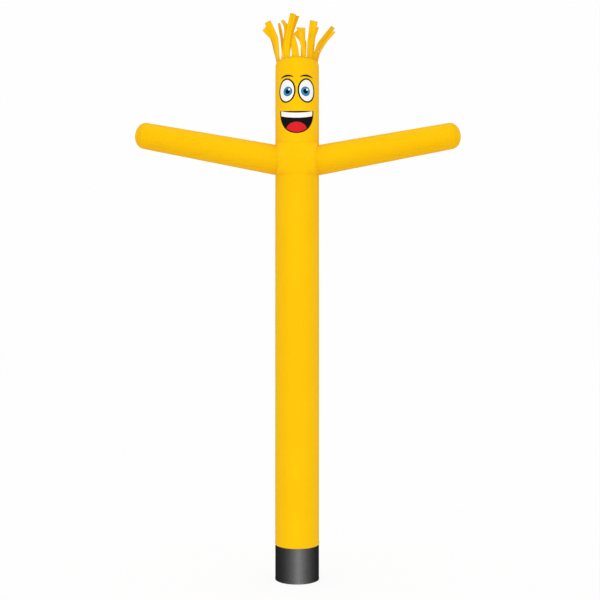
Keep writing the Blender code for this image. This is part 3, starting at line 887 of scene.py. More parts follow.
def coated_black(name):
    """Heavier coated polyester: a coarse basket weave under a satin coat,
    scuffed a little along its hem."""
    mat = bpy.data.materials.new(name)
    tree, bsdf = nodes_of(mat)
    w = Wiring(tree)
    cloth = w.node("ShaderNodeUVMap", uv_map="cloth").outputs["UV"]
    place = w.node("ShaderNodeTexCoord").outputs["Object"]
    split = w.node("ShaderNodeSeparateXYZ")
    w.put(split.inputs[0], cloth)
    pick = [w.math("SINE", w.math("MULTIPLY", split.outputs[axis], 2 * math.pi / 0.0016)) for axis in (0, 1)]
    weave = w.math("MULTIPLY", pick[0], pick[1])
    slack = w.noise(place, 7.0, 2.0, 0.5)
    fine = w.noise(place, 60.0, 3.0, 0.6)
    wear_and_shade_fac = w.node("ShaderNodeAttribute", attribute_name="wear_and_shade").outputs["Fac"]
    deep, pale = (0.0205, 0.0205, 0.0208, 1.0), (0.0235, 0.0235, 0.0238, 1.0)
    base = w.mix(w.ramp(fine, 0.35, 0.65), deep, pale)
    scuffed = w.mix(w.math("MULTIPLY", w.math("MULTIPLY", wear_and_shade_fac, w.ramp(fine, 0.50, 0.72)), 0.5, clamp=True), base, (0.060, 0.058, 0.055, 1.0))
    w.put(bsdf.inputs["Base Color"], scuffed)
    w.put(bsdf.inputs["Roughness"], w.ramp(fine, 0.3, 0.7, 0.50, 0.60))
    bsdf.inputs["Specular IOR Level"].default_value = 0.08
    n1 = w.bump(slack, 0.004, 0.25)
    n2 = w.bump(weave, 0.00020, 0.45, n1)
    w.put(bsdf.inputs["Normal"], n2)
    mat.diffuse_color = (0.03, 0.03, 0.03, 1.0)
    return mat


def thread(name, colour, rough=0.5):
    """Twisted polyester thread."""
    mat = bpy.data.materials.new(name)
    tree, bsdf = nodes_of(mat)
    w = Wiring(tree)
    place = w.node("ShaderNodeTexCoord").outputs["Object"]
    vary = w.noise(place, 140.0, 2.0, 0.5)
    w.put(bsdf.inputs["Base Color"], w.mix(w.ramp(vary, 0.35, 0.65), colour, tuple(c * 0.86 for c in colour[:3]) + (1.0,)))
    w.put(bsdf.inputs["Roughness"], w.ramp(vary, 0.3, 0.7, rough - 0.06, rough + 0.06))
    bsdf.inputs["Specular IOR Level"].default_value = 0.15
    twist = w.noise(place, 2600.0, 1.0, 0.5)
    w.put(bsdf.inputs["Normal"], w.bump(twist, 0.0001, 0.4))
    return mat


def paper_white(name):
    """The plain pale floor, lit evenly from within like a light table, so
    that it holds only a trace of a shadow."""
    mat = bpy.data.materials.new(name)
    tree, bsdf = nodes_of(mat)
    w = Wiring(tree)
    place = w.node("ShaderNodeTexCoord").outputs["Object"]
    vary = w.noise(place, 3.0, 3.0, 0.5)
    w.put(bsdf.inputs["Base Color"], w.mix(vary, (0.082, 0.082, 0.082, 1.0), (0.090, 0.090, 0.090, 1.0)))
    bsdf.inputs["Roughness"].default_value = 0.9
    bsdf.inputs["Specular IOR Level"].default_value = 0.0
    bsdf.inputs["Emission Color"].default_value = (1.0, 1.0, 1.0, 1.0)
    bsdf.inputs["Emission Strength"].default_value = 0.903
    return mat


YELLOW = (0.968, 0.566, 0.0036, 1.0)
# the colour that painted shade darkens the yellow cloth toward, also tinting its grid threads
YELLOW_SHADE = (0.860, 0.415, 0.0030, 1.0)
GOLD = (0.95, 0.62, 0.05, 1.0)
BODY_CLOTH = ripstop("body_ripstop", YELLOW, YELLOW_SHADE, gloss=GOLD)
# the hair's second colour is the one that painted shade darkens it toward
HAIR_CLOTH = ripstop("hair_ripstop", (0.900, 0.520, 0.0036, 1.0), (0.600, 0.325, 0.0026, 1.0), crinkle=1.6, gloss=GOLD)
INK_BLACK = ripstop("print_black", (0.0085, 0.0075, 0.0070, 1.0), (0.0070, 0.0060, 0.0060, 1.0), rough=0.62, specular=0.12, sheen=0.0)
INK_WHITE = ripstop("print_white", (0.905, 0.920, 0.940, 1.0), (0.830, 0.830, 0.830, 1.0), specular=0.08, sheen=0.0)
INK_BLUE = ripstop("print_blue", (0.020, 0.300, 0.620, 1.0), (0.010, 0.220, 0.500, 1.0), specular=0.10, sheen=0.0)
INK_NAVY = ripstop("print_navy", (0.006, 0.090, 0.260, 1.0), (0.004, 0.060, 0.200, 1.0), specular=0.10, sheen=0.0)
INK_RED = ripstop("print_red", (0.700, 0.012, 0.020, 1.0), (0.560, 0.006, 0.010, 1.0), specular=0.10, sheen=0.0)
SLEEVE_CLOTH = coated_black("sleeve_polyester")
YELLOW_THREAD = thread("thread_yellow", (0.860, 0.460, 0.0050, 1.0))
BLACK_THREAD = thread("thread_black", (0.020, 0.020, 0.021, 1.0))


# ------------------------------------------------------------ camera, lights
def place_camera():
    cam = bpy.data.cameras.new("camera")
    cam.lens, cam.sensor_width = 54.72, 36.0
    ob = bpy.data.objects.new("camera", cam)
    bpy.context.scene.collection.objects.link(ob)
    far, height, pitch, yaw = 9.63, 2.643, math.radians(1.633), math.radians(1.5)
    aim = yaw - 0.030 / far
    f = Vector((-math.sin(aim) * math.cos(pitch), math.cos(aim) * math.cos(pitch), math.sin(pitch)))
    right = Vector((math.cos(aim), math.sin(aim), 0.0))
    m = Matrix((right, right.cross(f), -f)).transposed().to_4x4()
    m.translation = Vector((far * math.sin(yaw), -far * math.cos(yaw), height))
    ob.matrix_world = m
    bpy.context.scene.camera = ob


def aim_light(ob, place, target):
    ob.location = place
    ob.rotation_euler = (Vector(target) - Vector(place)).to_track_quat("-Z", "Y").to_euler()


def soft_sky(world):
    """White all round, and a little less light, and warmer, from below, as
    off a floor beside yellow cloth."""
    world.use_nodes = True
    w = Wiring(world.node_tree)
    direction = w.node("ShaderNodeTexCoord").outputs["Generated"]
    split = w.node("ShaderNodeSeparateXYZ")
    w.put(split.inputs[0], direction)
    above = w.ramp(split.outputs[2], -0.80, -0.25, 0.0, 1.0)
    back = world.node_tree.nodes["Background"]
    w.put(back.inputs["Color"], w.mix(above, (0.98, 0.865, 0.74, 1.0), (0.99, 0.99, 0.99, 1.0)))
    back.inputs["Strength"].default_value = 1.0


def group_of(name):
    """A group of pieces that a light is meant for."""
    return bpy.data.collections.new(name)


def strip_light(name, a, b, target, width, share, lit, blockers=None):
    """A long softbox from a to b that faces the line through target; share is
    what it adds at its own distance, as a part of the sky's light."""
    a, b, target = Vector(a), Vector(b), Vector(target)
    mid, along = 0.5 * (a + b), (b - a).normalized()
    out = target - mid
    out = out - along * out.dot(along)
    near, out = out.length, out.normalized()
    light = bpy.data.lights.new(name, "AREA")
    light.shape, light.size, light.size_y = "RECTANGLE", width, (b - a).length
    # a long strip of radiance L and width w gives L w pi / 2 d
    light.energy = share * math.pi * 2 * near / (math.pi * width) * math.pi * width * (b - a).length
    ob = bpy.data.objects.new(name, light)
    bpy.context.scene.collection.objects.link(ob)
    side = along.cross(-out)
    m = Matrix((side, along, -out)).transposed().to_4x4()
    m.translation = mid
    ob.matrix_world = m
    ob.visible_camera = False
    ob.light_linking.receiver_collection = lit
    if blockers is not None:
        ob.light_linking.blocker_collection = blockers
    return ob


def sun_light(name, share, angle, place, lit=None, blockers=None):
    light = bpy.data.lights.new(name, "SUN")
    light.energy, light.angle = share * math.pi, math.radians(angle)
    ob = bpy.data.objects.new(name, light)
    bpy.context.scene.collection.objects.link(ob)
    aim_light(ob, place, (0, 0, 0))
    if lit is not None:
        ob.light_linking.receiver_collection = lit
    if blockers is not None:
        ob.light_linking.blocker_collection = blockers
    return ob


LIT = {name: group_of("lit_" + name) for name in ("tube", "upper", "arms", "sleeve", "hair", "floor")}


def studio():
    """An even white room, with long softboxes near the tube, the arms and the
    sleeve, as a tall thin thing is lit for a catalogue."""
    scene = bpy.context.scene
    scene.view_settings.view_transform = "Standard"
    scene.view_settings.look = "None"
    world = bpy.data.worlds.new("studio")
    scene.world = world
    soft_sky(world)
    world.cycles_visibility.glossy = False
    far = TUBE_R * 2.15
    strip_light("tube_strip", (0.0, -far, -0.6), (0.0, -far, 6.4), (0.0, 0.0, 3.0), 0.18, 0.075, LIT["tube"], LIT["tube"])
    for side in (-1, 1):
        start, axis, back, up = arm_frame(side)
        off = (-math.cos(math.radians(19)) * back + side * math.sin(math.radians(19)) * up) * 0.56
        a, b = start + axis * 0.12 + off, start + axis * 1.93 + off
        strip_light("arm_strip_" + ("left" if side < 0 else "right"), a, b, start + axis * 0.9, 0.10, 0.104, LIT["arms"], LIT["arms"])
    near = SLEEVE_R * 1.60
    strip_light("sleeve_strip", (0.037, -near, -0.5), (0.037, -near, 0.9), (0.0, 0.0, 0.2), 0.10, 2.14, LIT["sleeve"], LIT["sleeve"])
    sun_light("upper_sun", 0.026, 25, (0.0, -6.0, 1.0), LIT["upper"], LIT["floor"])
    sun_light("hair_sun", 0.13, 25, (-2.5, -6.0, 3.5), LIT["hair"], LIT["floor"])
    sun_light("hair_fill", 0.13, 25, (-4.0, -6.0, 2.0), LIT["hair"], LIT["floor"])


def floor():
    me = bpy.data.meshes.new("floor")
    size = 60.0
    me.from_pydata([(-size, -size, -0.0004), (size, -size, -0.0004), (size, size, -0.0004), (-size, size, -0.0004)], [], [(0, 1, 2, 3)])
    me.materials.append(paper_white("floor_paper"))
    ob = bpy.data.objects.new("floor", me)
    bpy.context.scene.collection.objects.link(ob)
    LIT["floor"].objects.link(ob)
    ob.visible_diffuse = False
    ob.visible_glossy = False


place_camera()
studio()
floor()

# ----------------------------------------------------------------- the pieces
# falls off with distance from a seam or edge: on the yellow cloth it sets painted shade, on the black sleeve scuffing
def wear_and_shade_near(distance, reach, size):
    return size * np.exp(-distance / reach)


def sleeve():
    heights = np.array(sorted(set([0, .001, .003, .006, .010, .015, .020, .0245, .0250, .0256, .0262, .029, .033, .038, .044, .052]
                                  + list(np.round(np.arange(.062, .300, .010), 4))
                                  + [.306, .312, .318, .323, .327, .330, .3328, .3334, .3338, .3345, .337, .340, .344, .348, .352, .3555, .358, .3590, .3597])))
    def wear_and_shade(a, z):
        return np.clip(wear_and_shade_near(z, 0.018, 1.0) + 0.35 * wear_and_shade_near(np.abs(SLEEVE_TOP - z), 0.01, 1.0), 0, 1)
    ob = tube_sheet("sleeve_cloth", sleeve_surface, lambda a: 0.0 * a, lambda a: SLEEVE_TOP - 0.0003 + 0 * a,
                    heights, girth_angles(220), HEAVY, [SLEEVE_CLOTH], wear_and_shade)
    rows = [round_row(sleeve_surface, lambda a, h=h: h + 0 * a) for h in (0.0205, 0.0130, SLEEVE_TOP - 0.0060, SLEEVE_TOP - 0.0225)]
    for off in (-0.0035, 0.0035):
        rows.append(up_row(sleeve_surface, math.pi + off / TUBE_R, 0.03, 0.33))
    sewn = stitch_rows("sleeve_stitches", rows, BLACK_THREAD)
    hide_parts("base_sleeve")
    return ob, sewn, (1.442, 0.360), None


def lower_body():
    total = CHEST_LOW_FRONT - SLEEVE_TOP
    heights = clustered(total, True, True, 0.034)
    # painted shade: darker by the chest seam toward the arms, and in the dips of the tube's gathers; the back seam's
    # band is darker too
    def wear_and_shade(a, z):
        up, down = z - SLEEVE_TOP, chest_low(a) - z
        return np.clip((0.02 + 0.16 * sides(a)) * wear_and_shade_near(np.abs(down), 0.008, 1.0) + 0.30 * wear_and_shade_near(back_distance(a), 0.006, 1.0)
                       + crease_shade(body_relief(a, z), 0.0036, 0.5) * smooth(up, 0.0, 0.03), 0, 1)
    ob = tube_sheet("lower_body_cloth", body_surface, lambda a: SLEEVE_TOP + 0.0 * a, lambda a: chest_low(a) - 0.0003,
                    heights, girth_angles(230), CLOTH, [BODY_CLOTH], wear_and_shade)
    rows = [round_row(body_surface, lambda a, d=d: chest_low(a) - d) for d in (0.0025, 0.0097)]
    rows += [round_row(body_surface, lambda a: SLEEVE_TOP + 0.0040 + 0 * a)]
    for off in (-0.0038, 0.0038):
        rows.append(up_row(body_surface, math.pi + off / TUBE_R, SLEEVE_TOP + 0.012, CHEST_LOW_FRONT - 0.014))
    sewn = stitch_rows("lower_body_stitches", rows, YELLOW_THREAD)
    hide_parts("lower_body")
    return ob, sewn, (1.436, 3.861), None


def opening_line(side, count=150):
    """The arm opening's edge on the flat chest band."""
    start, axis, back, up = arm_frame(side)
    phi = 2 * math.pi * np.arange(count) / count
    t = arm_root(side, phi)
    p = start + axis * t[:, None] + (np.cos(phi)[:, None] * back + np.sin(phi)[:, None] * up) * ARM_ROOT_R
    a = np.arctan2(p[:, 0], -p[:, 1])
    share = (p[:, 2] - chest_low(a)) / (chest_top(a) - chest_low(a))
    return np.stack([TUBE_R * a, share * (CHEST_TOP_FRONT - CHEST_LOW_FRONT)], 1)


def side_columns(step):
    half = math.pi * TUBE_R
    inner = [0.0, 0.0028, 0.0057, 0.0063, 0.0085]
    count = round((2 * half - 0.017) / step)
    mid = list(np.linspace(-half + 0.0085, half - 0.0085, count + 1))[1:-1]
    return np.array([-half + x for x in inner] + mid + [half - x for x in reversed(inner)])


def chest():
    tall = CHEST_TOP_FRONT - CHEST_LOW_FRONT
    heights = clustered(tall, True, True, 0.0065)
    lines = [opening_line(-1), opening_line(1)]
    # painted shade round the arm openings, along both seams, under the arms, and in the dips of the chest's gathers
    def wear_and_shade(a, z):
        p = round_points(chest_radius(a, z), a, z)
        near = np.minimum(opening_distance(-1, p)[0], opening_distance(1, p)[0])
        edge = np.minimum(z - chest_low(a), chest_top(a) - z)
        # under each arm a patch of painted shade, darkest just over the low seam, that thins out, and a fainter one
        # just under the top seam
        under = smooth(np.abs(np.sin(a)), 0.32, 0.62)
        pit = under * np.exp(-((z - chest_low(a) - 0.020) / 0.026) ** 2) * (0.75 + 0.25 * ripple(a, 47, 20, 40))
        over = under * np.exp(-((chest_top(a) - z - 0.012) / 0.030) ** 2)
        return np.clip(0.16 * wear_and_shade_near(near, 0.005, 1.0) + (0.02 + 0.08 * sides(a)) * wear_and_shade_near(edge, 0.006, 1.0) + 0.56 * pit + 0.24 * over
                       + crease_shade(chest_relief(a, z), 0.0034, 0.42), 0, 1)
    ob = cut_sheet("chest_band_cloth", chest_surface, chest_low, lambda a: chest_top(a) - 0.0003, tall,
                   side_columns(0.0065), heights, lines, lines, CLOTH, [BODY_CLOTH], wear_and_shade_rule=wear_and_shade)
    sewn = None
    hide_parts("chest_band")
    return ob, sewn, (1.436, 0.400), 1.436 * 0.345 - 2 * math.pi * ARM_ROOT_R ** 2 * 1.02


# the printed face: plain round eyes, short brows and a half-moon smile, in
# flat places: distance round from the front, and height above the ground
EYE_AT, EYE_Z = 0.109, 5.092
EYE_WIDE, EYE_TALL, EYE_LINE = 0.083, 0.112, 0.0160
IRIS_R, IRIS_RING, PUPIL_R, GLINT_R = 0.050, 0.0065, 0.0265, 0.0115
IRIS_IN, IRIS_DOWN = 0.014, 0.010
BROW_R, BROW_FROM, BROW_TO, BROW_THICK = 0.156, 60, 118, 0.020
MOUTH_HALF, MOUTH_Z, MOUTH_DEEP, MOUTH_SAG, MOUTH_LINE = 0.178, 4.885, 0.232, 0.030, 0.0165
TEETH = 0.052
TONGUE_WIDE, TONGUE_TALL, TONGUE_Z = 0.112, 0.080, 4.680


def ellipse(x, z, wide, tall, count=72):
    t = 2 * math.pi * np.arange(count) / count
    return np.stack([x + wide * np.cos(t), z + tall * np.sin(t)], 1)


def brow(side, count=24):
    """A short thick arc over an eye, thinning to both ends."""
    deg = np.linspace(BROW_FROM, BROW_TO, count)
    swell = np.sin(np.pi * (deg - BROW_FROM) / (BROW_TO - BROW_FROM)) ** 0.6
    half = 0.5 * BROW_THICK * np.clip(swell, 0.12, 1.0)
    rad = np.radians(deg)
    out = np.stack([(BROW_R + half) * np.cos(rad), (BROW_R + half) * np.sin(rad)], 1)
    back = np.stack([(BROW_R - half) * np.cos(rad), (BROW_R - half) * np.sin(rad)], 1)[::-1]
    line = np.concatenate([out, back])
    line[:, 0] = side * (EYE_AT - 0.004 + line[:, 0])
    line[:, 1] += EYE_Z
    return line


def mouth_line(grow, count=44):
    """The half-moon mouth, its outline moved outward by grow."""
    wide, deep = MOUTH_HALF + grow, MOUTH_DEEP + grow
    t = np.linspace(0, math.pi, count)
    x = wide * np.cos(t)
    low = np.stack([x, MOUTH_Z + 0.3 * grow - deep * np.sin(t) ** 0.92], 1)
    x = np.linspace(-wide, wide, count)[1:-1]
    top = np.stack([x, MOUTH_Z + 0.3 * grow - (MOUTH_SAG - 0.75 * grow) * (1 - (x / wide) ** 2)], 1)
    return np.concatenate([low, top])


def teeth_line(count=34):
    """The lower edge of the teeth, as a closed band that covers them."""
    x = np.linspace(-MOUTH_HALF - 0.02, MOUTH_HALF + 0.02, count)
    low = MOUTH_Z - MOUTH_SAG * (1 - (x / MOUTH_HALF) ** 2) - TEETH
    high = low + TEETH + 0.030
    return np.concatenate([np.stack([x, low], 1), np.stack([x, high], 1)[::-1]])


def face_lines():
    lines = {}
    for side, word in ((-1, "left"), (1, "right")):
        x = side * EYE_AT
        ix, iz = x - side * IRIS_IN, EYE_Z - IRIS_DOWN
        lines["eye_line_" + word] = ellipse(x, EYE_Z, EYE_WIDE + EYE_LINE, EYE_TALL + EYE_LINE, 84)
        lines["eye_" + word] = ellipse(x, EYE_Z, EYE_WIDE, EYE_TALL, 84)
        lines["iris_line_" + word] = ellipse(ix, iz, IRIS_R, IRIS_R, 60)
        lines["iris_" + word] = ellipse(ix, iz, IRIS_R - IRIS_RING, IRIS_R - IRIS_RING, 54)
        lines["pupil_" + word] = ellipse(ix, iz, PUPIL_R, PUPIL_R, 40)
        lines["glint_" + word] = ellipse(ix + 0.017, iz + 0.019, GLINT_R, GLINT_R, 24)
        lines["brow_" + word] = brow(side)
    lines["mouth_line"] = mouth_line(MOUTH_LINE)
    lines["mouth"] = mouth_line(0.0)
    lines["teeth"] = teeth_line()
    lines["tongue"] = ellipse(0.0, TONGUE_Z, TONGUE_WIDE, TONGUE_TALL, 60)
    return lines


# which ink each outline holds, later rows over earlier ones
INKS = ("cloth", "black", "white", "blue", "navy", "red")
FACE_INKS = [("eye_line", "black"), ("eye", "white"), ("iris_line", "navy"), ("iris", "blue"), ("pupil", "black"),
             ("glint", "white"), ("brow", "black")]


def head():
    tall = RIM_Z - CHEST_TOP_FRONT
    heights = clustered(tall, True, True, 0.0100)
    lines = face_lines()
    # heights above the ground become distances up the flat sheet
    def to_flat(line):
        a = line[:, 0] / TUBE_R
        low = chest_top(a)
        return np.stack([line[:, 0], (line[:, 1] - low) / (RIM_Z - low) * tall], 1)
    flat = {k: to_flat(v) for k, v in lines.items()}

    def paint(p):
        ink = np.zeros(len(p), int)
        for word in ("left", "right"):
            for what, colour in FACE_INKS:
                ink[inside_line(p, flat[what + "_" + word])] = INKS.index(colour)
        ink[inside_line(p, flat["mouth_line"])] = INKS.index("black")
        mouth = inside_line(p, flat["mouth"])
        ink[mouth & inside_line(p, flat["tongue"])] = INKS.index("red")
        ink[mouth & inside_line(p, flat["teeth"])] = INKS.index("white")
        return ink

    # painted shade: darker along the chest seam toward the arms, in a band under the rim, and in the dips of the head's
    # gathers
    def wear_and_shade(a, z):
        low, top = z - chest_top(a), RIM_Z - z
        return np.clip((0.02 + 0.07 * sides(a)) * wear_and_shade_near(np.abs(low), 0.014, 1.0) + 0.50 * wear_and_shade_near(top, 0.020, 1.0)
                       + crease_shade(head_relief(a, z), 0.0036, 0.5), 0, 1)
    ob = cut_sheet("head_cloth", head_surface, chest_top, lambda a: RIM_Z + 0 * a, tall,
                   side_columns(0.0095), heights, list(flat.values()), [], CLOTH,
                   [BODY_CLOTH, INK_BLACK, INK_WHITE, INK_BLUE, INK_NAVY, INK_RED], paint=paint, wear_and_shade_rule=wear_and_shade)
    rows = [round_row(head_surface, lambda a, d=d: chest_top(a) + d) for d in (0.0025, 0.0097)]
    rows += [round_row(head_surface, lambda a, d=d: RIM_Z - d + 0 * a) for d in (0.0030, 0.0112)]
    for off in (-0.0038, 0.0038):
        rows.append(up_row(head_surface, math.pi + off / TUBE_R, CHEST_TOP_FRONT + 0.014, RIM_Z - 0.016))
    sewn = stitch_rows("head_stitches", rows, YELLOW_THREAD)
    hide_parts("head_tube")
    return ob, sewn, (1.436, 0.897), None


def crown():
    a = girth_angles(150)
    w = np.array([0.0, 0.01, 0.025, 0.045, 0.07, 0.10, 0.14, 0.19, 0.25, 0.33, 0.42, 0.52, 0.63, 0.75, 0.86, 0.94, 0.985])
    aa, ww = a[None, :] + 0 * w[:, None], w[:, None] + 0 * a[None, :]
    co = crown_surface(aa, ww).reshape(-1, 3)
    rows, cols = ww.shape
    faces = grid_faces(rows, cols, True)
    flat = co[:, :2].reshape(rows, cols, 2)
    fl = flat.reshape(-1, 2)
    uv = fl[faces]
    # the middle is closed by a small fan
    middle = len(co)
    co = np.concatenate([co, [[0.0, 0.0, RIM_Z - 0.0010 + CROWN_RISE]]])
    last = (rows - 1) * cols + np.arange(cols)
    fan = np.stack([last, np.roll(last, -1), np.full(cols, middle)], 1)
    fl = np.concatenate([fl, [[0.0, 0.0]]])
    quads = np.concatenate([faces[:, [0, 1, 2]], faces[:, [0, 2, 3]], fan])
    uv = fl[quads]
    # painted shade along the rim's seam, fading inward
    wear_and_shade = np.append((0.5 * np.exp(-ww * 0.2168 / 0.012)).ravel(), 0.0)
    ob = shell("crown_cloth", co, quads, uv, CLOTH, [BODY_CLOTH], wear_and_shade=wear_and_shade)
    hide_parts("crown")
    return ob, None, (0.436, 0.436), math.pi * 0.2168 ** 2


def arm(side):
    word = "left" if side < 0 else "right"
    surface = arm_surface(side)
    close = np.array([0.0, 0.0028, 0.0057, 0.0063, 0.0085]) / ARM_ROOT_R
    rest = np.linspace(close[-1], 2 * math.pi - close[-1], 171)[1:-1]
    phi = np.concatenate([close, rest, 2 * math.pi - close[:0:-1]])
    near = [0.0, 0.0008, 0.002, 0.004, 0.0065, 0.009, 0.0107, 0.0113, 0.014, 0.018, 0.022, 0.027, 0.032, 0.038, 0.045, 0.053,
            0.062, 0.072, 0.084, 0.098, 0.114, 0.132, 0.152, 0.175]
    end = [0.0, 0.002, 0.004, 0.0065, 0.009, 0.012, 0.015, 0.018, 0.021, 0.0235, 0.026, 0.0285, 0.031, 0.034, 0.038, 0.043,
           0.049, 0.056, 0.064, 0.073, 0.084, 0.097, 0.112, 0.130]
    seam = ARM_END + ARM_CAP_AT - 0.0002
    root = arm_root(side, phi)
    far = seam - 0.130
    mid = np.linspace(0.0, 1.0, 46)[1:-1]
    rows = [root + x for x in near]
    rows += [root + near[-1] + (far - root - near[-1]) * m for m in mid]
    rows += [np.full_like(root, seam - x) for x in reversed(end)]
    t = np.stack(rows)
    p = phi[None, :] + 0 * t
    co = surface(p, t).reshape(-1, 3)
    nr, nc = t.shape
    faces = grid_faces(nr, nc, True)
    uv = grid_corners(ARM_ROOT_R * np.append(phi, 2 * math.pi), t, True)
    d, o = (t - root[None, :]).ravel(), (seam - t).ravel()
    # painted shade at the root seam, at both end seams, over the end between those seams, and in the dips of the folds,
    # tucks and dimples
    wear_and_shade = np.clip(0.18 * np.exp(-d / 0.005) + 0.12 * np.exp(-(o - 0.003) ** 2 / 0.006 ** 2) + 0.10 * np.exp(-(o - 0.027) ** 2 / 0.005 ** 2)
                   + 0.10 * smooth(-o, -0.028, -0.024) + crease_shade(arm_relief(side)(p, t).ravel(), 0.0032, 0.85), 0, 1)
    n = vertex_normals(co, faces)
    start, axis, back, up = arm_frame(side)
    ring = co - start - np.outer((co - start) @ axis, axis)
    if (n * ring).sum() < 0:
        faces, uv = faces[:, ::-1], uv[:, ::-1]
    ob = shell("arm_cloth_" + word, co, faces, uv, CLOTH, [BODY_CLOTH], wear_and_shade=wear_and_shade)
    rows = []
    count = int(2 * math.pi * ARM_ROOT_R / STITCH_PITCH)
    around = 2 * math.pi * (np.arange(count) + 0.5) / count
    lift = 1.0 if side < 0 else -1.0
    root_at = arm_root(side, around)
    for off in (0.0030, 0.0090):
        rows.append((surface, np.stack([around, root_at + off], 1), (0.5 * STITCH_LONG / ARM_ROOT_R, 0.0), lift))
    for off in (0.0045, 0.0270):
        rows.append((surface, np.stack([around, np.full(count, seam - off)], 1), (0.5 * STITCH_LONG / ARM_END_R, 0.0), lift))
    for off in (-0.0038, 0.0038):
        row = up_row(surface, off / ARM_ROOT_R, ARM_ROOT + 0.03, seam - 0.03, lift)
        rows.append(row)
    sewn = stitch_rows("arm_stitches_" + word, rows, YELLOW_THREAD)
    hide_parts("arm_" + word)
    long = float(seam - root.min())
    area = float(np.sum(0.5 * (arm_radius(t[1:]) + arm_radius(t[:-1])) * np.diff(t, axis=0)) * 2 * math.pi / t.shape[1])
    return ob, sewn, (0.980, round(long, 3)), area


def arm_cap(side):
    word = "left" if side < 0 else "right"
    surface = cap_surface(side)
    phi = 2 * math.pi * np.arange(150) / 150
    w = np.array([0.0015, 0.02, 0.045, 0.075, 0.11, 0.15, 0.20, 0.26, 0.33, 0.41, 0.50, 0.60, 0.71, 0.82, 0.91, 0.97])
    pp, ww = phi[None, :] + 0 * w[:, None], w[:, None] + 0 * phi[None, :]
    co = surface(pp, ww).reshape(-1, 3)
    rows, cols = ww.shape
    faces = grid_faces(rows, cols, True)
    middle = len(co)
    centre = surface(np.array([0.0]), np.array([1.0]))
    co = np.concatenate([co, centre])
    last = (rows - 1) * cols + np.arange(cols)
    fan = np.stack([last, np.roll(last, -1), np.full(cols, middle)], 1)
    tris = np.concatenate([faces[:, [0, 1, 2]], faces[:, [0, 2, 3]], fan])
    flat_r = (0.125 * (1 - ww)).ravel()
    fl = np.stack([flat_r * np.cos(pp.ravel()), flat_r * np.sin(pp.ravel())], 1)
    fl = np.concatenate([fl, [[0.0, 0.0]]])
    uv = fl[tris]
    start, axis, back, up = arm_frame(side)
    n = vertex_normals(co, tris)
    if (n @ axis).sum() < 0:
        tris, uv = tris[:, ::-1], uv[:, ::-1]
    # painted shade: dark dots in the round of dimples by the seam, a little darker near the seam and all over
    dimple_shade = np.clip(-beads(side * pp, (80 if side < 0 else 90) + 3 - 20), 0, 1) * np.exp(-(ww * 0.125 / 0.010) ** 2)
    wear_and_shade = np.append(np.clip(0.15 * np.exp(-ww * 0.125 / 0.008) + 0.02 + 0.75 * dimple_shade, 0, 1).ravel(), 0.02)
    ob = shell("arm_cap_cloth_" + word, co, tris, uv, CLOTH, [BODY_CLOTH], wear_and_shade=wear_and_shade)
    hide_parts("arm_cap_" + word)
    return ob, None, (0.250, 0.250), math.pi * 0.125 ** 2


# ----------------------------------------------------------------- the hair
def strip_line(col, steps=80):
    angle = math.radians(col["angle"])
    r = RIM_R - 0.0017
    points = [np.array([r * math.sin(angle), -r * math.cos(angle), RIM_Z + 0.0009])]
    ways = [np.array([0.0, 0.0, 1.0])]
    for k in range(steps):
        s = (k + 0.5) / steps
        bend = min(max((s - col["turn"] + col["soft"]) / (2 * col["soft"]), 0.0), 1.0)
        bend = bend * bend * (3 - 2 * bend)
        slope = math.radians(col["start"] + (col["heading"] - col["start"]) * bend)
        back = math.radians(col["lean"] * s)
        way = np.array([math.sin(slope) * math.cos(back), math.sin(back), math.cos(slope) * math.cos(back)])
        points.append(points[-1] + way * (col["length"] / steps))
        ways.append(way)
    return np.array(points), np.array(ways)


def strip_surface(col, seed):
    """A hemmed strip of the same cloth, from its seam to its cut tip: x runs
    across it from -1 to 1, s along it."""
    angle, facing = math.radians(col["angle"]), math.radians(col["facing"])
    outward = np.array([math.sin(angle), -math.cos(angle), 0.0])
    points, ways = strip_line(col)
    at = np.linspace(0.0, 1.0, len(points))
    rng = np.random.default_rng(seed)
    phase = rng.uniform(0, 2 * math.pi, 8)
    crease_at, crease_deep = rng.uniform(-0.35, 0.35), rng.uniform(0.0015, 0.0030)

    def surface(x, s):
        x, s = np.broadcast_arrays(np.asarray(x, float), np.asarray(s, float))
        p = np.stack([np.interp(s, at, points[:, k]) for k in range(3)], -1)
        # its root is held down in the rim's seam
        p[..., 2] -= 0.0022 * (1 - smooth(s, 0.0, 0.03))
        way = np.stack([np.interp(s, at, ways[:, k]) for k in range(3)], -1)
        way = way / np.linalg.norm(way, axis=-1, keepdims=True)
        ease = s * s * (3 - 2 * s)
        plan = angle + (facing - angle) * (0.7 * s + 0.3 * ease)
        side = np.stack([np.cos(plan), np.sin(plan), 0 * plan], -1)
        side = side - way * (side * way).sum(-1, keepdims=True)
        side = side / np.linalg.norm(side, axis=-1, keepdims=True)
        flat = np.cross(way, side)
        start = smooth(s, 0.0, 0.03)[..., None]
        flat = flat * start + (1 - start) * (-outward) * np.ones_like(flat)
        width = col["base"] + (col["width"] - col["base"]) * s ** 1.5
        off = 0.5 * x * width
        edge = x * x
        rim_curve = 0.5 * (0.5 * col["base"]) ** 2 / RIM_R
        cup = rim_curve * (1 - ease) + HAIR_CUP * np.sin(math.pi * np.minimum(1.0, 0.85 * s)) ** 2
        lift = cup * edge
        # a long soft crease, small waves along the hems, and a limp tip
        lift = lift + crease_deep * np.exp(-((x - crease_at - 0.15 * np.sin(5 * s + phase[0])) / 0.20) ** 2) * smooth(s, 0.02, 0.20)
        lift = lift + 0.0016 * x * np.sin(19 * s + phase[1]) * smooth(s, 0.05, 0.3)
        lift = lift + 0.0022 * np.sin(9 * s + phase[2] + 1.2 * x) * smooth(s, 0.1, 0.5) * 0.6
        gathers = np.exp(-s / 0.07)
        lift = lift + 0.0016 * np.cos(7.5 * x + phase[3]) * gathers * smooth(s, 0.0, 0.02)
        return p + side * off[..., None] + flat * lift[..., None]
    return surface


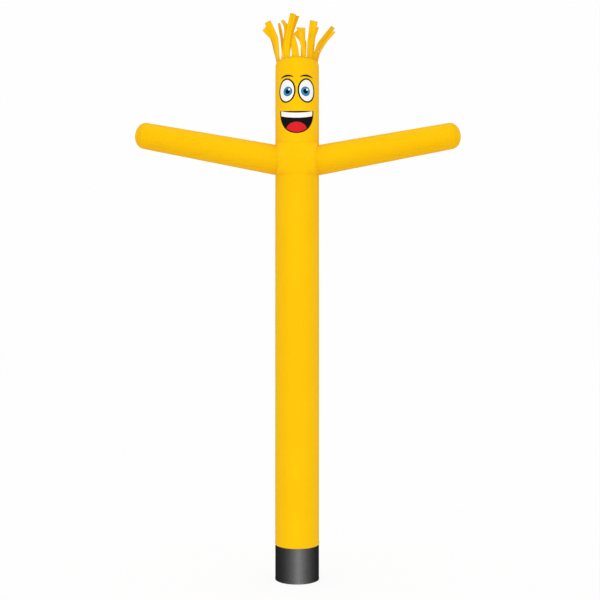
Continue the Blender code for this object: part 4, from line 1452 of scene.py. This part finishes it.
def strip(row, number):
    col = dict(zip(HAIR_COLUMNS, row))
    surface = strip_surface(col, 200 + number)
    hem = 0.009 / (0.5 * max(col["width"], col["base"]))
    x = np.array([-1, -1 + 0.5 * hem, -1 + 0.95 * hem, -1 + 1.05 * hem] + list(np.linspace(-1 + 1.4 * hem, 1 - 1.4 * hem, 11))
                 + [1 - 1.05 * hem, 1 - 0.95 * hem, 1 - 0.5 * hem, 1])
    s = np.concatenate([np.linspace(0, 0.06, 7)[:-1], np.linspace(0.06, 0.975, 74)[:-1], [0.975, 0.981, 0.984, 0.99, 0.996, 1.0]])
    ss, xx = s[:, None] + 0 * x[None, :], x[None, :] + 0 * s[:, None]
    co = surface(xx, ss).reshape(-1, 3)
    rows, cols = ss.shape
    faces = grid_faces(rows, cols, False)
    fl = np.stack([(0.5 * (xx + 1) * col["width"]).ravel(), (ss * col["length"]).ravel()], 1)
    uv = fl[faces]
    # the folded hems are two layers thick
    hemmed = np.maximum(1 - smooth(1 - np.abs(xx), 0.96 * hem, 1.04 * hem), smooth(ss, 0.9815, 0.9835)).ravel()
    thick = 0.0008 + 0.0007 * hemmed
    n = vertex_normals(co, faces)
    co = co + n * (0.5 * thick)[:, None]
    rng = np.random.default_rng(700 + number)
    # dark streaks of painted shade along the strip, where creases would be
    streak_shade = 0.0 * xx
    for _ in range(5):
        at, bend, phase, wide = rng.uniform(-0.7, 0.7), rng.uniform(0.05, 0.25), rng.uniform(0, 6.28), rng.uniform(0.07, 0.16)
        low, high = rng.uniform(-0.1, 0.5), rng.uniform(0.6, 1.2)
        streak_shade = streak_shade + rng.uniform(0.15, 0.42) * np.exp(-((xx - at - bend * np.sin(6 * ss + phase)) / wide) ** 2) * smooth(ss, low, low + 0.15) * (1 - smooth(ss, high - 0.2, high))
    hem_shade_vary = 0.5 + 0.5 * np.sin(23 * ss + rng.uniform(0, 6.28)) * np.sin(9 * ss + rng.uniform(0, 6.28))
    # painted shade: darkest at the base in the rim's seam, along the hems, unevenly, and in the streaks
    wear_and_shade = np.clip(0.80 * np.exp(-ss / 0.045) + (0.25 + 0.30 * hem_shade_vary) * hemmed.reshape(ss.shape) + streak_shade, 0, 1).ravel()
    ob = shell(col["name"] + "_cloth", co, faces, uv, thick, [HAIR_CLOTH], wear_and_shade=wear_and_shade)
    count = int(col["length"] * 0.94 / STITCH_PITCH)
    v = 0.03 + 0.94 * (np.arange(count) + 0.5) / count
    half = 0.5 * STITCH_LONG / col["length"]

    def lifted(xq, sq, sign):
        base = surface(xq, sq)
        e = 1e-3
        across = surface(xq + e, sq) - surface(xq - e, sq)
        along = surface(xq, sq + e) - surface(xq, sq - e)
        nn = np.cross(across, along)
        nn = nn / np.linalg.norm(nn, axis=-1, keepdims=True)
        return base + nn * (0.00075 * sign)
    rows_s = []
    for sign in (1.0, -1.0):
        for place in (-1 + 0.8 * hem, 1 - 0.8 * hem):
            rows_s.append((lambda xq, sq, g=sign: lifted(xq, sq, g), np.stack([np.full(count, place), v], 1), (0.0, half), sign))
    sewn = stitch_rows(col["name"] + "_stitches", rows_s, YELLOW_THREAD)
    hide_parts(col["name"])
    mean = 0.5 * (col["base"] + col["width"])
    return ob, sewn, (round(max(col["base"], col["width"]), 3), col["length"]), col["length"] * (col["base"] + (col["width"] - col["base"]) / 2.5)


def finish_piece(made, lit):
    ob, sewn, flat, area = made
    extra = [sewn] if sewn is not None else []
    for piece in [ob] + extra:
        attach(piece, "root")
        for group in lit:
            LIT[group].objects.link(piece)


finish_piece(sleeve(), ["sleeve"])
finish_piece(lower_body(), ["tube"])
finish_piece(chest(), ["arms", "upper"])
finish_piece(head(), ["tube", "upper"])
finish_piece(crown(), ["tube", "upper"])
for SIDE in (-1, 1):
    finish_piece(arm(SIDE), ["arms"])
    finish_piece(arm_cap(SIDE), ["arms", "upper"])
for NUMBER, ROW in enumerate(HAIR, 1):
    finish_piece(strip(ROW, NUMBER), ["hair"])
